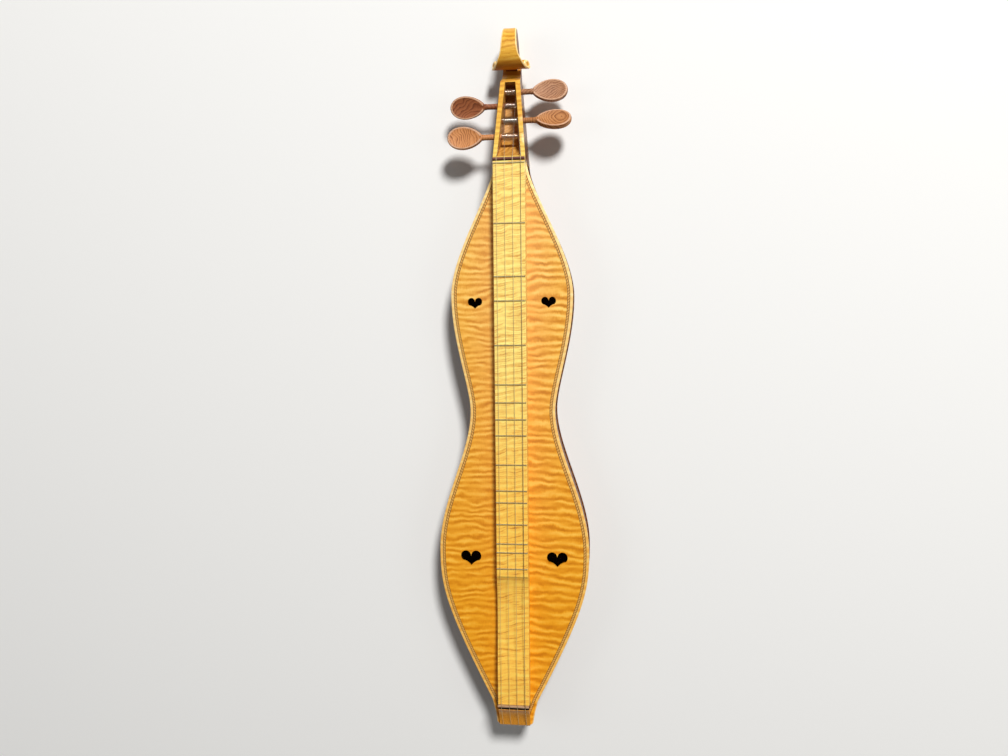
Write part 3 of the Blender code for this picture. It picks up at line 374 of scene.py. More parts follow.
# The fingerboard's paler head ramp is a painted sheen as well.
BOARD_STOPS = (
    ((0.0, "#d89a42"), (0.3, "#efc566"), (0.6, "#ffe680"), (1.0, "#fff69e")),
    ((0.0, "#cc862c"), (0.3, "#f6b846"), (0.6, "#ffcf58"), (1.0, "#ffe478")),
)
HEAD_STOPS = (
    ((0.0, "#a8681a"), (0.3, "#cf8f2c"), (0.6, "#e8b040"), (1.0, "#f8cc62")),
    ((0.0, "#c08e36"), (0.3, "#e2b850"), (0.6, "#f0cc62"), (1.0, "#fadc78")),
)
TAIL_STOPS = (
    ((0.0, "#8e5910"), (0.5, "#dc9024"), (1.0, "#f8b83e")),
    ((0.0, "#8e5910"), (0.5, "#dc9024"), (1.0, "#f8b83e")),
)
# Dark maple for the back, the ribs and the sides of the head: painted shade, as the sides stand in shade from
# the lamp above.
SIDE_STOPS = (
    ((0.0, "#3a1c08"), (0.5, "#6a3812"), (1.0, "#8e5520")),
    ((0.0, "#3a1c08"), (0.5, "#6a3812"), (1.0, "#8e5520")),
)
INSIDE_STOPS = (
    ((0.0, "#9a6018"), (0.4, "#c08432"), (0.7, "#d8a04a"), (1.0, "#ecbc6a")),
    ((0.0, "#9a6018"), (0.4, "#c08432"), (0.7, "#d8a04a"), (1.0, "#ecbc6a")),
)
LEFT, RIGHT = {"seed": 0.0, "tilt": 0.03}, {"seed": 0.31, "tilt": -0.03}
HEAD_LOOK = {"drift": (0.350, 0.286), "wander": 0.010, "curl": 0.42, "silk": 0.34, "fine": 0.10}
# Painted shade, as (clear, full, end, colour): the lower crest of the scroll darkens where it turns away from
# the lamp beyond the head.
PAINTED_SHADE_UNDER_CREST = (0.4140, 0.402, 0.3995, "#b26c12")
SADDLE_BACK, TAIL_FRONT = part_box("saddle")[0][1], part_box("tailpiece")[1][1]
# Painted shade: near-black in the recess behind the saddle, where the saddle shades it.
PAINTED_SHADE_BEHIND_SADDLE = (SADDLE_BACK, SADDLE_BACK - 0.0004, -1.0, "#2a1608")
# Painted shade: near-black on the tailpiece's front face in that recess.
PAINTED_SHADE_ON_TAIL_FACE = (TAIL_FRONT - 0.0005, TAIL_FRONT - 0.0001, -1.0, "#2a1608")
maple_left = curly_maple("curly_maple_left_half", TOP_STOPS, 8.6, curl=0.76, blush=0.32, **LEFT)
maple_right = curly_maple("curly_maple_right_half", TOP_STOPS, 10.4, curl=0.92, blush=0.38, **RIGHT)
rim_left = curly_maple("pale_maple_left_edge", RIM_STOPS, 8.6, curl=0.4, **LEFT)
rim_right = curly_maple("pale_maple_right_edge", RIM_STOPS, 10.4, curl=0.4, **RIGHT)
maple_sides = curly_maple(
    "curly_maple_back_and_ribs_painted_shade", SIDE_STOPS, 9.0, 0.77, 0.04, coat=0.03, specular=0.25
)
maple_board = curly_maple(
    "curly_maple_fingerboard",
    BOARD_STOPS,
    8.2,
    1.13,
    0.14,
    drift=(0.06, -0.20),
    wander=0.018,
    curl=0.34,
    silk=0.36,
    ragged=0.0008,
    fine=0.20,
    stain=PAINTED_SHADE_BEHIND_SADDLE,
)
maple_head = curly_maple(
    "curly_maple_head", HEAD_STOPS, 6.2, 1.61, 0.05, coat=0.05, specular=0.25, stain=PAINTED_SHADE_UNDER_CREST, **HEAD_LOOK
)
# The pale finish of the head's rounded edges is a painted highlight, where the edges catch the light.
head_edge_highlight = curly_maple("maple_edge_painted_highlight", RIM_STOPS, 6.2, 1.61, curl=0.2, silk=0.1)
maple_tail = curly_maple(
    "shaded_maple_tailpiece",
    TAIL_STOPS,
    14.0,
    2.3,
    curl=0.12,
    silk=0.1,
    grain=0.6,
    roughness=0.42,
    stain=PAINTED_SHADE_ON_TAIL_FACE,
)
# The inside of the pegbox is darker maple than the head: painted shade.
maple_inside_painted_shade = curly_maple(
    "pegbox_maple_painted_shade", INSIDE_STOPS, 4.6, 2.9, 0.6, curl=0.45, silk=0.2, roughness=0.5
)
print("maple finishes made")

# %% [markdown]
# ## Rosewood, bone, spruce and the metals
#
# The pegs are oiled rosewood whose growth rings swirl across the flat heads, so their pattern
# is a wave of rings that noise has bent. The saddle is bone. Strings are drawn steel wire and
# frets are nickel silver with a polished crown. The hidden linings and braces are plain spruce.

# %% Make rosewood, bone, spruce and the metals


def ringed_wood(name, stops, ring_mm, lean, roughness, core=(0.0, 0.0, 0.0), bend=0.011):
    """Wood cut through its growth rings round a core, bent by noise into swirls."""
    finish, tree, shader = new_finish(name, roughness)
    where = add_node(tree, "ShaderNodeTexCoord").outputs["Object"]
    turned = add_node(
        tree,
        "ShaderNodeMapping",
        {"vector_type": "TEXTURE"},
        {"Vector": where, "Location": core, "Rotation": lean},
    ).outputs[0]
    wide = noise_at(tree, turned, (26.0, 26.0, 26.0), 2.5, 0.5, "Color")
    bent = add_node(
        tree,
        "ShaderNodeVectorMath",
        {"operation": "MULTIPLY_ADD"},
        {0: wide, 1: (bend, bend, 0.0), 2: turned},
    ).outputs[0]
    flat = add_node(tree, "ShaderNodeVectorMath", {"operation": "MULTIPLY"}, {0: bent})
    flat.inputs[1].default_value = (1.0, 1.0, 0.15)
    away = add_node(tree, "ShaderNodeVectorMath", {"operation": "LENGTH"}, {0: flat.outputs[0]})
    turns = math_node(tree, "MULTIPLY", away.outputs["Value"], MM / ring_mm)
    late = math_node(tree, "POWER", math_node(tree, "FRACT", turns), 2.2)
    thickness = noise_at(tree, turned, (7.0, 7.0, 7.0), 2.0)
    depth = add_node(
        tree,
        "ShaderNodeMapRange",
        None,
        {"Value": thickness, "From Min": 0.3, "From Max": 0.7, "To Min": 0.20, "To Max": 0.74},
    ).outputs[0]
    pores = noise_at(tree, turned, (0.8, 5.0, 0.8), 3.0, 0.6)
    patches = noise_at(tree, turned, (14.0, 14.0, 14.0), 2.0)
    figure = math_node(tree, "MULTIPLY_ADD", pores, 0.36, 0.27)
    figure = math_node(tree, "MULTIPLY_ADD", patches, 0.30, figure)
    figure = math_node(tree, "SUBTRACT", figure, math_node(tree, "MULTIPLY", late, depth))
    tree.links.new(ramp(tree, figure, stops), shader.inputs["Base Color"])
    shader.inputs["Specular IOR Level"].default_value = 0.3
    bump = add_node(tree, "ShaderNodeBump", None, {"Height": pores, "Distance": 0.00008})
    tree.links.new(bump.outputs[0], shader.inputs["Normal"])
    return finish


def plain_metal(name, colour, roughness):
    finish, tree, shader = new_finish(name, roughness, 1.0)
    where = add_node(tree, "ShaderNodeTexCoord").outputs["Object"]
    specks = noise_at(tree, where, (1.2, 1.2, 1.2))
    rough = add_node(
        tree,
        "ShaderNodeMapRange",
        None,
        {"Value": specks, "To Min": roughness * 0.7, "To Max": roughness * 1.3},
    ).outputs[0]
    tree.links.new(rough, shader.inputs["Roughness"])
    shader.inputs["Base Color"].default_value = linear(colour)
    return finish


DARK_ROSEWOOD = ((0.0, "#4e2610"), (0.35, "#804424"), (0.65, "#a05e36"), (1.0, "#bc7c4c"))
LIGHT_ROSEWOOD = ((0.0, "#562a0e"), (0.35, "#9a5e30"), (0.65, "#c08450"), (1.0, "#dcab76"))
GREY_ROSEWOOD = ((0.0, "#4c2a18"), (0.35, "#94603e"), (0.65, "#bd8a64"), (1.0, "#d8ae8c"))
PINK_ROSEWOOD = ((0.0, "#743c18"), (0.35, "#b87440"), (0.65, "#d4925a"), (1.0, "#ecb684"))
PEG_RIM_HIGHLIGHT_STOPS = ((0.0, "#b27e5a"), (0.5, "#cea07e"), (1.0, "#e4c0a2"))
NUT_ROSEWOOD = ((0.0, "#43221e"), (0.5, "#74463e"), (1.0, "#a07468"))
SPRUCE = ((0.0, "#c9a877"), (1.0, "#e3cb9f"))
BONE = ((0.0, "#987656"), (0.5, "#ae8c6c"), (1.0, "#c2a486"))
rosewood_grey = ringed_wood(
    "pale_rosewood", GREY_ROSEWOOD, 2.9, (0.0, 0.0, 0.0), 0.55, core=(0.118, 0.305, 0.0), bend=0.026
)
rosewood_dark = ringed_wood(
    "dark_rosewood", DARK_ROSEWOOD, 4.4, (0.0, 0.0, 0.0), 0.55, core=(-0.030, 0.352, 0.0), bend=0.03
)
rosewood_light = ringed_wood(
    "orange_rosewood", LIGHT_ROSEWOOD, 3.0, (0.0, 0.0, 0.0), 0.55, core=(0.069, 0.345, 0.0)
)
rosewood_pink = ringed_wood(
    "pink_rosewood", PINK_ROSEWOOD, 3.6, (0.0, 0.0, 0.0), 0.55, core=(-0.14, 0.300, 0.0), bend=0.028
)
# The pale rims of the peg heads are a painted highlight.
peg_rim_highlight = ringed_wood("rosewood_peg_rim_painted_highlight", PEG_RIM_HIGHLIGHT_STOPS, 2.6, (0.0, 0.0, 0.0), 0.45)
rosewood_nut = ringed_wood("nut_rosewood", NUT_ROSEWOOD, 1.4, (0.2, 0.4, 0.0), 0.4)
spruce = ringed_wood("planed_spruce", SPRUCE, 1.6, (1.5, 0.0, 0.2), 0.6)
bone = ringed_wood("polished_bone", BONE, 3.0, (0.1, 1.4, 0.2), 0.35)
steel = plain_metal("drawn_steel_wire", "#f6e6b4", 0.6)
bright_steel = plain_metal("wound_up_steel_wire", "#e6e0d4", 0.25)
nickel_silver = plain_metal("nickel_silver_frets", "#e0d4a8", 0.45)
print("other finishes made")

# %% [markdown]
# ## Rope purfling and wound wire
#
# Two finishes follow their own piece, so they read its UV map, where U is the length along the
# piece in metres and V goes across it. The purfling is a rope of slanted dark and pale pieces,
# about 2 mm each, between two dark lines. The thick string has a fine wire wound round its
# core, whose turns are drawn as coarse as the picture can show.

# %% Make the rope purfling and the wound wire
ROPE_PITCH = 0.0036
WRAP_PITCH = 0.0007


def rope_purfling():
    finish, tree, shader = new_finish("rope_purfling", 0.4)
    parts = add_node(
        tree,
        "ShaderNodeSeparateXYZ",
        None,
        {0: add_node(tree, "ShaderNodeUVMap", {"uv_map": "along"}).outputs[0]},
    )
    along, over = parts.outputs["X"], parts.outputs["Y"]
    slant = math_node(tree, "MULTIPLY_ADD", over, 0.9, math_node(tree, "DIVIDE", along, ROPE_PITCH))
    strand = math_node(tree, "FRACT", slant)
    dark = math_node(tree, "LESS_THAN", strand, 0.5)
    off_middle = math_node(tree, "ABSOLUTE", math_node(tree, "SUBTRACT", over, 0.5))
    line = math_node(tree, "GREATER_THAN", off_middle, 0.34)
    rope = add_node(
        tree,
        "ShaderNodeMix",
        {"data_type": "RGBA"},
        {0: dark, 6: linear("#e2ac58"), 7: linear("#b07c38")},
    ).outputs[2]
    colour = add_node(
        tree, "ShaderNodeMix", {"data_type": "RGBA"}, {0: line, 6: rope, 7: linear("#84541c")}
    ).outputs[2]
    tree.links.new(colour, shader.inputs["Base Color"])
    shader.inputs["Coat Weight"].default_value = 0.25
    return finish


def wound_wire():
    finish, tree, shader = new_finish("wound_wire", 0.5, 1.0)
    parts = add_node(
        tree,
        "ShaderNodeSeparateXYZ",
        None,
        {0: add_node(tree, "ShaderNodeUVMap", {"uv_map": "along"}).outputs[0]},
    )
    turns = math_node(tree, "DIVIDE", parts.outputs["X"], WRAP_PITCH)
    turns = math_node(tree, "FRACT", math_node(tree, "ADD", turns, parts.outputs["Y"]))
    turn_height_and_painted_shading = math_node(tree, "SINE", math_node(tree, "MULTIPLY", turns, math.pi))
    # Each turn is darker in the grooves and paler on its crest: painted shade and highlight, over the bump that
    # gives the turns their relief.
    colour = ramp(tree, turn_height_and_painted_shading, ((0.0, "#8e744a"), (0.5, "#ccb078"), (1.0, "#f4e2b8")))
    tree.links.new(colour, shader.inputs["Base Color"])
    bump = add_node(tree, "ShaderNodeBump", None, {"Height": turn_height_and_painted_shading, "Distance": 0.0001})
    tree.links.new(bump.outputs[0], shader.inputs["Normal"])
    return finish


purfling_finish = rope_purfling()
wound_finish = wound_wire()
print("pattern finishes made")

# %% [markdown]
# ## The outline of the body
#
# The edge of the body is one smooth line of four Bézier curves, from the corner beside the
# tail over the lower bout, the waist and the upper bout to the neck. The same line gives the
# soundboard, the back, the ribs and the purfling, each at its own distance inside the edge.

# %% Draw the outline
TAIL_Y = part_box("soundboard_left")[0][1]
NECK_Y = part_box("soundboard_left")[1][1]
BODY_LENGTH = NECK_Y - TAIL_Y
ZERO_Y = (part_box("zero_fret")[0][1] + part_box("zero_fret")[1][1]) / 2
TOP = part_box("soundboard_left")[1][2]
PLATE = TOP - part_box("soundboard_left")[0][2]
HALF_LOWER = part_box("soundboard_right")[1][0]
TAIL_CORNER = 0.0315
KNOTS = (
    (TAIL_CORNER, 0.0298, 0.626, 0.51),
    (0.3150 * BODY_LENGTH, HALF_LOWER, 0.350, 0.0),
    (0.5644 * BODY_LENGTH, 0.0550, 0.206, 0.0),
    (0.7682 * BODY_LENGTH, 0.0787, 0.325, 0.0),
)
NECK_KNOT = (BODY_LENGTH, 0.0205)
ARRIVE = ((0.239, 0.0), (0.292, 0.0), (0.392, 0.0), (0.206, 0.010))


def bezier(points, steps):
    """Points of a cubic curve, without its last one."""
    found = []
    for i in range(steps):
        t = i / steps
        weights = ((1 - t) ** 3, 3 * (1 - t) ** 2 * t, 3 * (1 - t) * t**2, t**3)
        found.append(tuple(sum(w * p[k] for w, p in zip(weights, points)) for k in (0, 1)))
    return found


def body_edge():
    """(station, half width) from the tail to the neck, a few millimetres apart."""
    points = [(0.0, 0.0230), (TAIL_CORNER / 2, 0.0258)]
    ends = [knot[:2] for knot in KNOTS[1:]] + [NECK_KNOT]
    for (s, w, leave, slope), end, (arrive, lift) in zip(KNOTS, ends, ARRIVE):
        run = end[0] - s
        leave_handle = (s + leave * run, w + leave * run * slope)
        arrive_handle = (end[0] - arrive * run, end[1] + lift * run)
        points += bezier(((s, w), leave_handle, arrive_handle, end), 60)
    return np.array(points + [NECK_KNOT])


EDGE = body_edge()


def half_width(station, inset=0.0):
    steps = np.gradient(EDGE, axis=0)
    steps /= np.linalg.norm(steps, axis=1)[:, None]
    inside = EDGE + np.stack([steps[:, 1], -steps[:, 0]], axis=1) * inset
    return float(np.interp(station, inside[:, 0], inside[:, 1]))


def side_line(side, inset, start, end, spacing=0.0035):
    """Points (x, y) along one side of the body at this inset."""
    count = max(2, round((end - start) / spacing))
    stations = [start + (end - start) * i / count for i in range(count + 1)]
    return [(side * half_width(s, inset), TAIL_Y + s) for s in stations]


print("outline points:", len(EDGE), "body length in mm:", round(BODY_LENGTH * MM, 1))

# %% [markdown]
# ## Soundboard and back
#
# Each half of a plate is sawn to the outline, so it starts as one flat face. It is extruded to
# its thickness, and its outer edge is rounded with a bevel. The hearts and the channel for the
# purfling are then cut with booleans, as a knife and a router would do it.

# %% Helpers for plates and strips
TAIL_ROUND_WIDTH = 0.0040
TAIL_ROUND_LENGTH = 0.0058
EDGE_ROUND = 0.0009
SEAM = 0.00015


def plate_outline(side, inset=0.0):
    edge = side_line(side, inset, TAIL_ROUND_LENGTH, BODY_LENGTH)
    corner_x, corner_y = edge[0]
    rounding = []
    for i in range(8):
        turn = math.pi / 2 * i / 8
        x = corner_x - side * TAIL_ROUND_WIDTH * (1 - math.sin(turn))
        rounding.append((x, corner_y - TAIL_ROUND_LENGTH * math.cos(turn)))
    return rounding + edge, [(side * SEAM, NECK_Y), (side * SEAM, TAIL_Y)]


def slab(name, outline, low, high):
    """A flat face, extruded from low to high."""
    piece = new_piece(name, [(x, y, low) for x, y in outline], [range(len(outline))])
    edit(piece)
    bpy.ops.mesh.extrude_region_move(TRANSFORM_OT_translate={"value": (0, 0, high - low)})
    close_edit()
    return piece


def body_plate(name, side, low, high, rounded):
    edge, seam = plate_outline(side)
    piece = slab(name, edge + seam, low, high)
    edit(piece, "DESELECT")

    def on_outer_edge(one, two):
        level = max(abs(one.z - rounded), abs(two.z - rounded)) < MERGE
        return level and min(abs(one.x), abs(two.x)) > 2 * SEAM

    select_edges(piece, on_outer_edge)
    bpy.ops.mesh.bevel(offset=EDGE_ROUND, segments=3, profile=0.5, clamp_overlap=True)
    close_edit()
    return piece


def strip(name, outer, inner, high, depth):
    """A strip of quads between two lines, given its thickness by an extrusion."""
    count = len(outer)
    faces = [(i, i + 1, count + i + 1, count + i) for i in range(count - 1)]
    piece = new_piece(name, [(x, y, high) for x, y in outer + inner], faces)
    layer = piece.data.uv_layers.new(name="along")
    lengths = [0.0]
    for one, two in zip(outer, outer[1:]):
        lengths.append(lengths[-1] + math.dist(one, two))
    for loop in piece.data.loops:
        index = loop.vertex_index
        layer.data[loop.index].uv = (lengths[index % count], index // count)
    edit(piece)
    bpy.ops.mesh.extrude_region_move(TRANSFORM_OT_translate={"value": (0, 0, -depth)})
    close_edit()
    return piece


print("seam between the halves in mm:", 2 * SEAM * MM)

# %% Make the soundboard, its edging and its purfling
PURFLING_INSET = 0.0037
PURFLING_WIDTH = 0.0034
PURFLING_DEPTH = 0.0012
PURFLING_TAIL = 0.0105
PURFLING_SLANT = 0.36
PURFLING_END = 0.004
TAIL_EDGING = 0.0017
FIT = 0.0001
HEARTS = ((0.3002, 0.0565, 0.0270, 0.0198), (0.7549, 0.0476, 0.0189, 0.0143))
LOBE_HEIGHT = 0.58
LOBE_END = 0.98
HEART_SIDE, HEART_TIP = (0.388, -0.521), (0.0, -1.01)


def purfling_line(side, inset):
    line = side_line(side, inset, TAIL_CORNER, BODY_LENGTH - PURFLING_END)
    corner_x, corner_y = line[0]
    run = corner_y - (TAIL_Y + PURFLING_TAIL)
    first = (corner_x - side * PURFLING_SLANT * run, corner_y - run)
    return [first, *line]


def heart(middle_x, middle_y, width, length):
    """Two round lobes side by side towards the head, and hollow sides that meet in a tip."""
    half = []
    for i in range(27):
        turn = math.pi - (math.pi + LOBE_END) * i / 26
        half.append((0.5 + 0.5 * math.cos(turn), LOBE_HEIGHT * math.sin(turn)))
    start = half.pop()
    towards = [tuple(a + (b - a) * 2 / 3 for a, b in zip(end, HEART_SIDE)) for end in (start, HEART_TIP)]
    half += bezier((start, *towards, HEART_TIP), 10) + [HEART_TIP]
    outline = half + [(-x, y) for x, y in half[-2:0:-1]]
    tall = LOBE_HEIGHT - HEART_TIP[1]
    lowest = middle_y - length / 2
    return [
        (middle_x + width / 2 * x, lowest + length * (y - HEART_TIP[1]) / tall) for x, y in outline
    ]


def edging_line(side, gap):
    """The inner side of the edging, which is narrower round the corner beside the tail."""
    lines = [plate_outline(side, inset - gap)[0] for inset in (TAIL_EDGING, PURFLING_INSET)]
    return [near if near[1] < TAIL_Y + TAIL_CORNER else far for near, far in zip(*lines)]


def edging(name, side, finish):
    """The strip of pale wood between the purfling and the edge, with a rounded outer corner."""
    piece = strip(name, plate_outline(side)[0], edging_line(side, 2 * FIT), TOP, PLATE)
    edit(piece, "DESELECT")

    def on_outer_corner(one, two):
        high = min(one.z, two.z) > TOP - MERGE
        along = abs(one.y - two.y) > MERGE
        middle = (one.y + two.y) / 2 - TAIL_Y
        past_round = middle > TAIL_ROUND_LENGTH
        far = min(abs(one.x), abs(two.x)) > half_width(middle, TAIL_EDGING * 0.6)
        return high and along and past_round and far

    select_edges(piece, on_outer_corner)
    bpy.ops.mesh.bevel(offset=EDGE_ROUND, segments=3, profile=0.5, clamp_overlap=True)
    close_edit()
    smooth(piece, 25.0)
    place(piece, (finish,), "body", "maple")


for word, side, maple, rim in (
    ("left", -1, maple_left, rim_left),
    ("right", 1, maple_right, rim_right),
):
    seam = plate_outline(side)[1]
    board = slab(f"soundboard_{word}", edging_line(side, FIT) + seam, TOP - PLATE, TOP)
    outer = purfling_line(side, PURFLING_INSET - 3 * FIT)
    inner = purfling_line(side, PURFLING_INSET + PURFLING_WIDTH + FIT)
    cut(board, strip("channel", outer, inner, TOP + PLATE, PLATE + PURFLING_DEPTH + FIT))
    for share, middle, width, length in HEARTS:
        shape = heart(side * middle, TAIL_Y + share * BODY_LENGTH, width, length)
        cut(board, slab("heart", shape, TOP - 2 * PLATE, TOP + PLATE))
    smooth(board, 25.0)
    place(board, (maple,), "body", "maple", f"soundboard_{word}")
    edging(f"edging_{word}", side, rim)
    outer = purfling_line(side, PURFLING_INSET)
    inner = purfling_line(side, PURFLING_INSET + PURFLING_WIDTH)
    rope = strip(f"purfling_{word}", outer, inner, TOP, PURFLING_DEPTH)
    smooth(rope)
    place(rope, (purfling_finish,), "body", "rope_purfling", f"purfling_{word}")

# %% Make the back and the ribs
OVERHANG = 0.0015
RIB = 0.0025
for word, side in (("left", -1), ("right", 1)):
    low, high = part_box(f"back_{word}")
    back = body_plate(f"back_{word}", side, low[2], high[2], low[2])
    smooth(back, 25.0)
    place(back, (maple_sides,), "body", "maple_sides", f"back_{word}")
    low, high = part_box(f"rib_{word}")
    outer = side_line(side, OVERHANG, OVERHANG, BODY_LENGTH)
    inner = side_line(side, OVERHANG + RIB, OVERHANG, BODY_LENGTH)
    rib = strip(f"rib_{word}", outer, inner, high[2], high[2] - low[2])
    smooth(rib)
    place(rib, (maple_sides,), "body", "maple_sides", f"rib_{word}")

# %% [markdown]
# ## The carved head
#
# The head is one block of curly maple. The pegbox tapers and bends down, so it is a square
# face drawn out along Y and resized at each place, and its long edges are bevelled. Behind it
# the throat dips under the scroll. The scroll narrows from the throat to its crown while its
# radius grows, and flares out into two round ears. Radius and width change together, which a
# spin can't give, so the scroll is a skin over 96 cross-sections. The block, the scroll and the
# heel are joined, then the pegbox and the tapered peg holes are cut out of the whole.

# %% Give the sizes of the head
HEAD_LENGTH = 0.1764
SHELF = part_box("headstock")[1][2]
PEGBOX_START, PEGBOX_END = 0.0095, 0.61 * HEAD_LENGTH
END_WALL = 0.0018
HEAD_HALF, HEAD_END_HALF = 0.0205, 0.0128
WALL_START, WALL_END = 0.0052, 0.0062
PEGBOX_FALL = 0.0217
PEGBOX_BEND = 0.1
HEAD_EDGE = 0.0011
END_TOP = SHELF - PEGBOX_FALL
PEGBOX_FLOOR = (
    (0.0, 0.0012),
    (0.0020, 0.0058),
    (0.0087, 0.0155),
    (0.0155, 0.0255),
    (0.0224, 0.0355),
    (0.0279, 0.0430),
    (0.0381, 0.0465),
    (0.0681, 0.0480),
    (PEGBOX_END - PEGBOX_START, 0.0490),
)
THROAT = (
    (0.0, 0.0126, 0.0004, 0.0046),
    (0.0016, 0.0125, 0.0048, 0.0048),
    (0.0046, 0.0123, 0.0110, 0.0050),
    (0.0090, 0.0120, 0.0162, 0.0053),
    (0.0142, 0.0118, 0.0200, 0.0056),
    (0.0200, 0.0116, 0.0217, 0.0062),
    (0.0260, 0.0115, 0.0223, 0.0075),
)
EYE_DISTANCE = 0.746 * HEAD_LENGTH
CROWN = HEAD_LENGTH - EYE_DISTANCE
EYE_Y = ZERO_Y + EYE_DISTANCE
EYE_Z = SHELF - 0.029
EYE_RADIUS = 0.0050
EAR = 0.0249
EAR_LEAN = 0.53
EAR_END = (
    (0.0002, 0.0012),
    (0.0014, 0.0011),
    (0.0026, 0.0006),
    (0.0032, 0.0001),
    (0.0038, 0.0),
    (0.0044, 0.0004),
    (0.0048, 0.0011),
    (EYE_RADIUS, 0.0021),
)
SCROLL_CORE = 0.0060
SCROLL_EDGE = 0.0013
SCROLL_DISH = 0.0024
SCROLL_RADII = (
    (-105, 0.0270),
    (-90, 0.0285),
    (-60, 0.0342),
    (-30, 0.0402),
    (-8, CROWN * 0.990),
    (8, CROWN * 0.985),
    (30, CROWN * 0.820),
    (60, CROWN * 0.580),
    (90, CROWN * 0.410),
    (120, CROWN * 0.280),
    (150, CROWN * 0.185),
    (180, EYE_RADIUS + 0.0014),
    (215, EYE_RADIUS + 0.0009),
    (250, EYE_RADIUS + 0.0008),
)
SCROLL_HALVES = (
    (-105, 0.0094),
    (-45, 0.0087),
    (0, 0.0086),
    (35, 0.0096),
    (60, 0.0110),
    (75, 0.0127),
    (90, 0.0157),
    (105, 0.0183),
    (120, 0.0207),
    (135, 0.0227),
    (165, 0.0241),
    (250, EAR),
)


def along_pegbox(distance):
    share = (distance - PEGBOX_START) / (PEGBOX_END - PEGBOX_START)
    return min(max(share, 0.0), 1.0)


def cheek_top(distance):
    share = along_pegbox(distance)
    return SHELF - PEGBOX_FALL * ((1 - PEGBOX_BEND) * share + PEGBOX_BEND * share**2)


def head_half(distance):
    return HEAD_HALF + (HEAD_END_HALF - HEAD_HALF) * along_pegbox(distance)


def box_half(distance):
    return head_half(distance) - WALL_START - (WALL_END - WALL_START) * along_pegbox(distance)


def smooth_value(knots, turn):
    """Value of a smooth curve through (angle, value) knots."""
    angles, values = zip(*knots)
    k = max(0, min(len(knots) - 2, int(np.searchsorted(angles, turn)) - 1))
    slopes = []
    for i in (k, k + 1):
        before, after = max(0, i - 1), min(len(knots) - 1, i + 1)
        slopes.append((values[after] - values[before]) / (angles[after] - angles[before]))
    span = angles[k + 1] - angles[k]
    t = (turn - angles[k]) / span
    value = (2 * t**3 - 3 * t**2 + 1) * values[k] + (3 * t**2 - 2 * t**3) * values[k + 1]
    return value + span * ((t**3 - 2 * t**2 + t) * slopes[0] + (t**3 - t**2) * slopes[1])


print("pegbox length in mm:", round((PEGBOX_END - PEGBOX_START) * MM, 1))

# %% Carve the head
HEAD_BOTTOM = 0.0008
RIB_BOTTOM, RIB_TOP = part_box("rib_left")[0][2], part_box("rib_left")[1][2]


# The head's finishes: carved maple, the pale edge of painted highlight, the darker pegbox inside of painted
# shade and the dark side maple of painted shade.
HEAD_FINISHES = (maple_head, head_edge_highlight, maple_inside_painted_shade, maple_sides)


def head_block():
    sections = [
        (ZERO_Y + 0.0029, HEAD_HALF, TOP + 0.0003, SHELF),
        (ZERO_Y + 0.0057, HEAD_HALF, TOP + 0.0003, SHELF),
        (ZERO_Y + 0.00575, HEAD_HALF, HEAD_BOTTOM, SHELF),
    ]
    for i in range(17):
        distance = PEGBOX_START + (PEGBOX_END - PEGBOX_START) * i / 16
        low = HEAD_BOTTOM + 0.0037 * (i / 16) ** 3
        sections.append((ZERO_Y + distance, head_half(distance), low, cheek_top(distance)))
    for past, half, fall, low in THROAT:
        y = ZERO_Y + PEGBOX_END + END_WALL + past
        sections.append((y, half, low, END_TOP - fall))
    block = drawn_box("head", sections)
    edit(block, "DESELECT")

    def long_edge(one, two):
        past_shelf = min(one.y, two.y) > ZERO_Y + 0.0057
        return past_shelf and abs(one.y - two.y) > MERGE

    select_edges(block, long_edge)
    bpy.ops.mesh.bevel(offset=HEAD_EDGE * 0.8, segments=3, profile=0.6, clamp_overlap=True)
    close_edit()
    give(block, *HEAD_FINISHES)
    # Side faces of the head take the dark side maple: painted shade.
    for face in block.data.polygons:
        face.material_index = 3 if abs(face.normal.x) > 0.8 else 0
    return block


def scroll_edge(turn, rim):
    """Width of the rounded edge, which grows towards the ears."""
    grown = min(max((turn - 90) / 40, 0.0), 1.0)
    return min(SCROLL_EDGE + 0.0012 * grown, (rim - EYE_RADIUS) * 0.6)


def ear_end(radius, turn):
    """How far out the leaning end of an ear lies."""
    return EAR - EAR_LEAN * (EYE_RADIUS + radius * math.sin(math.radians(turn)))


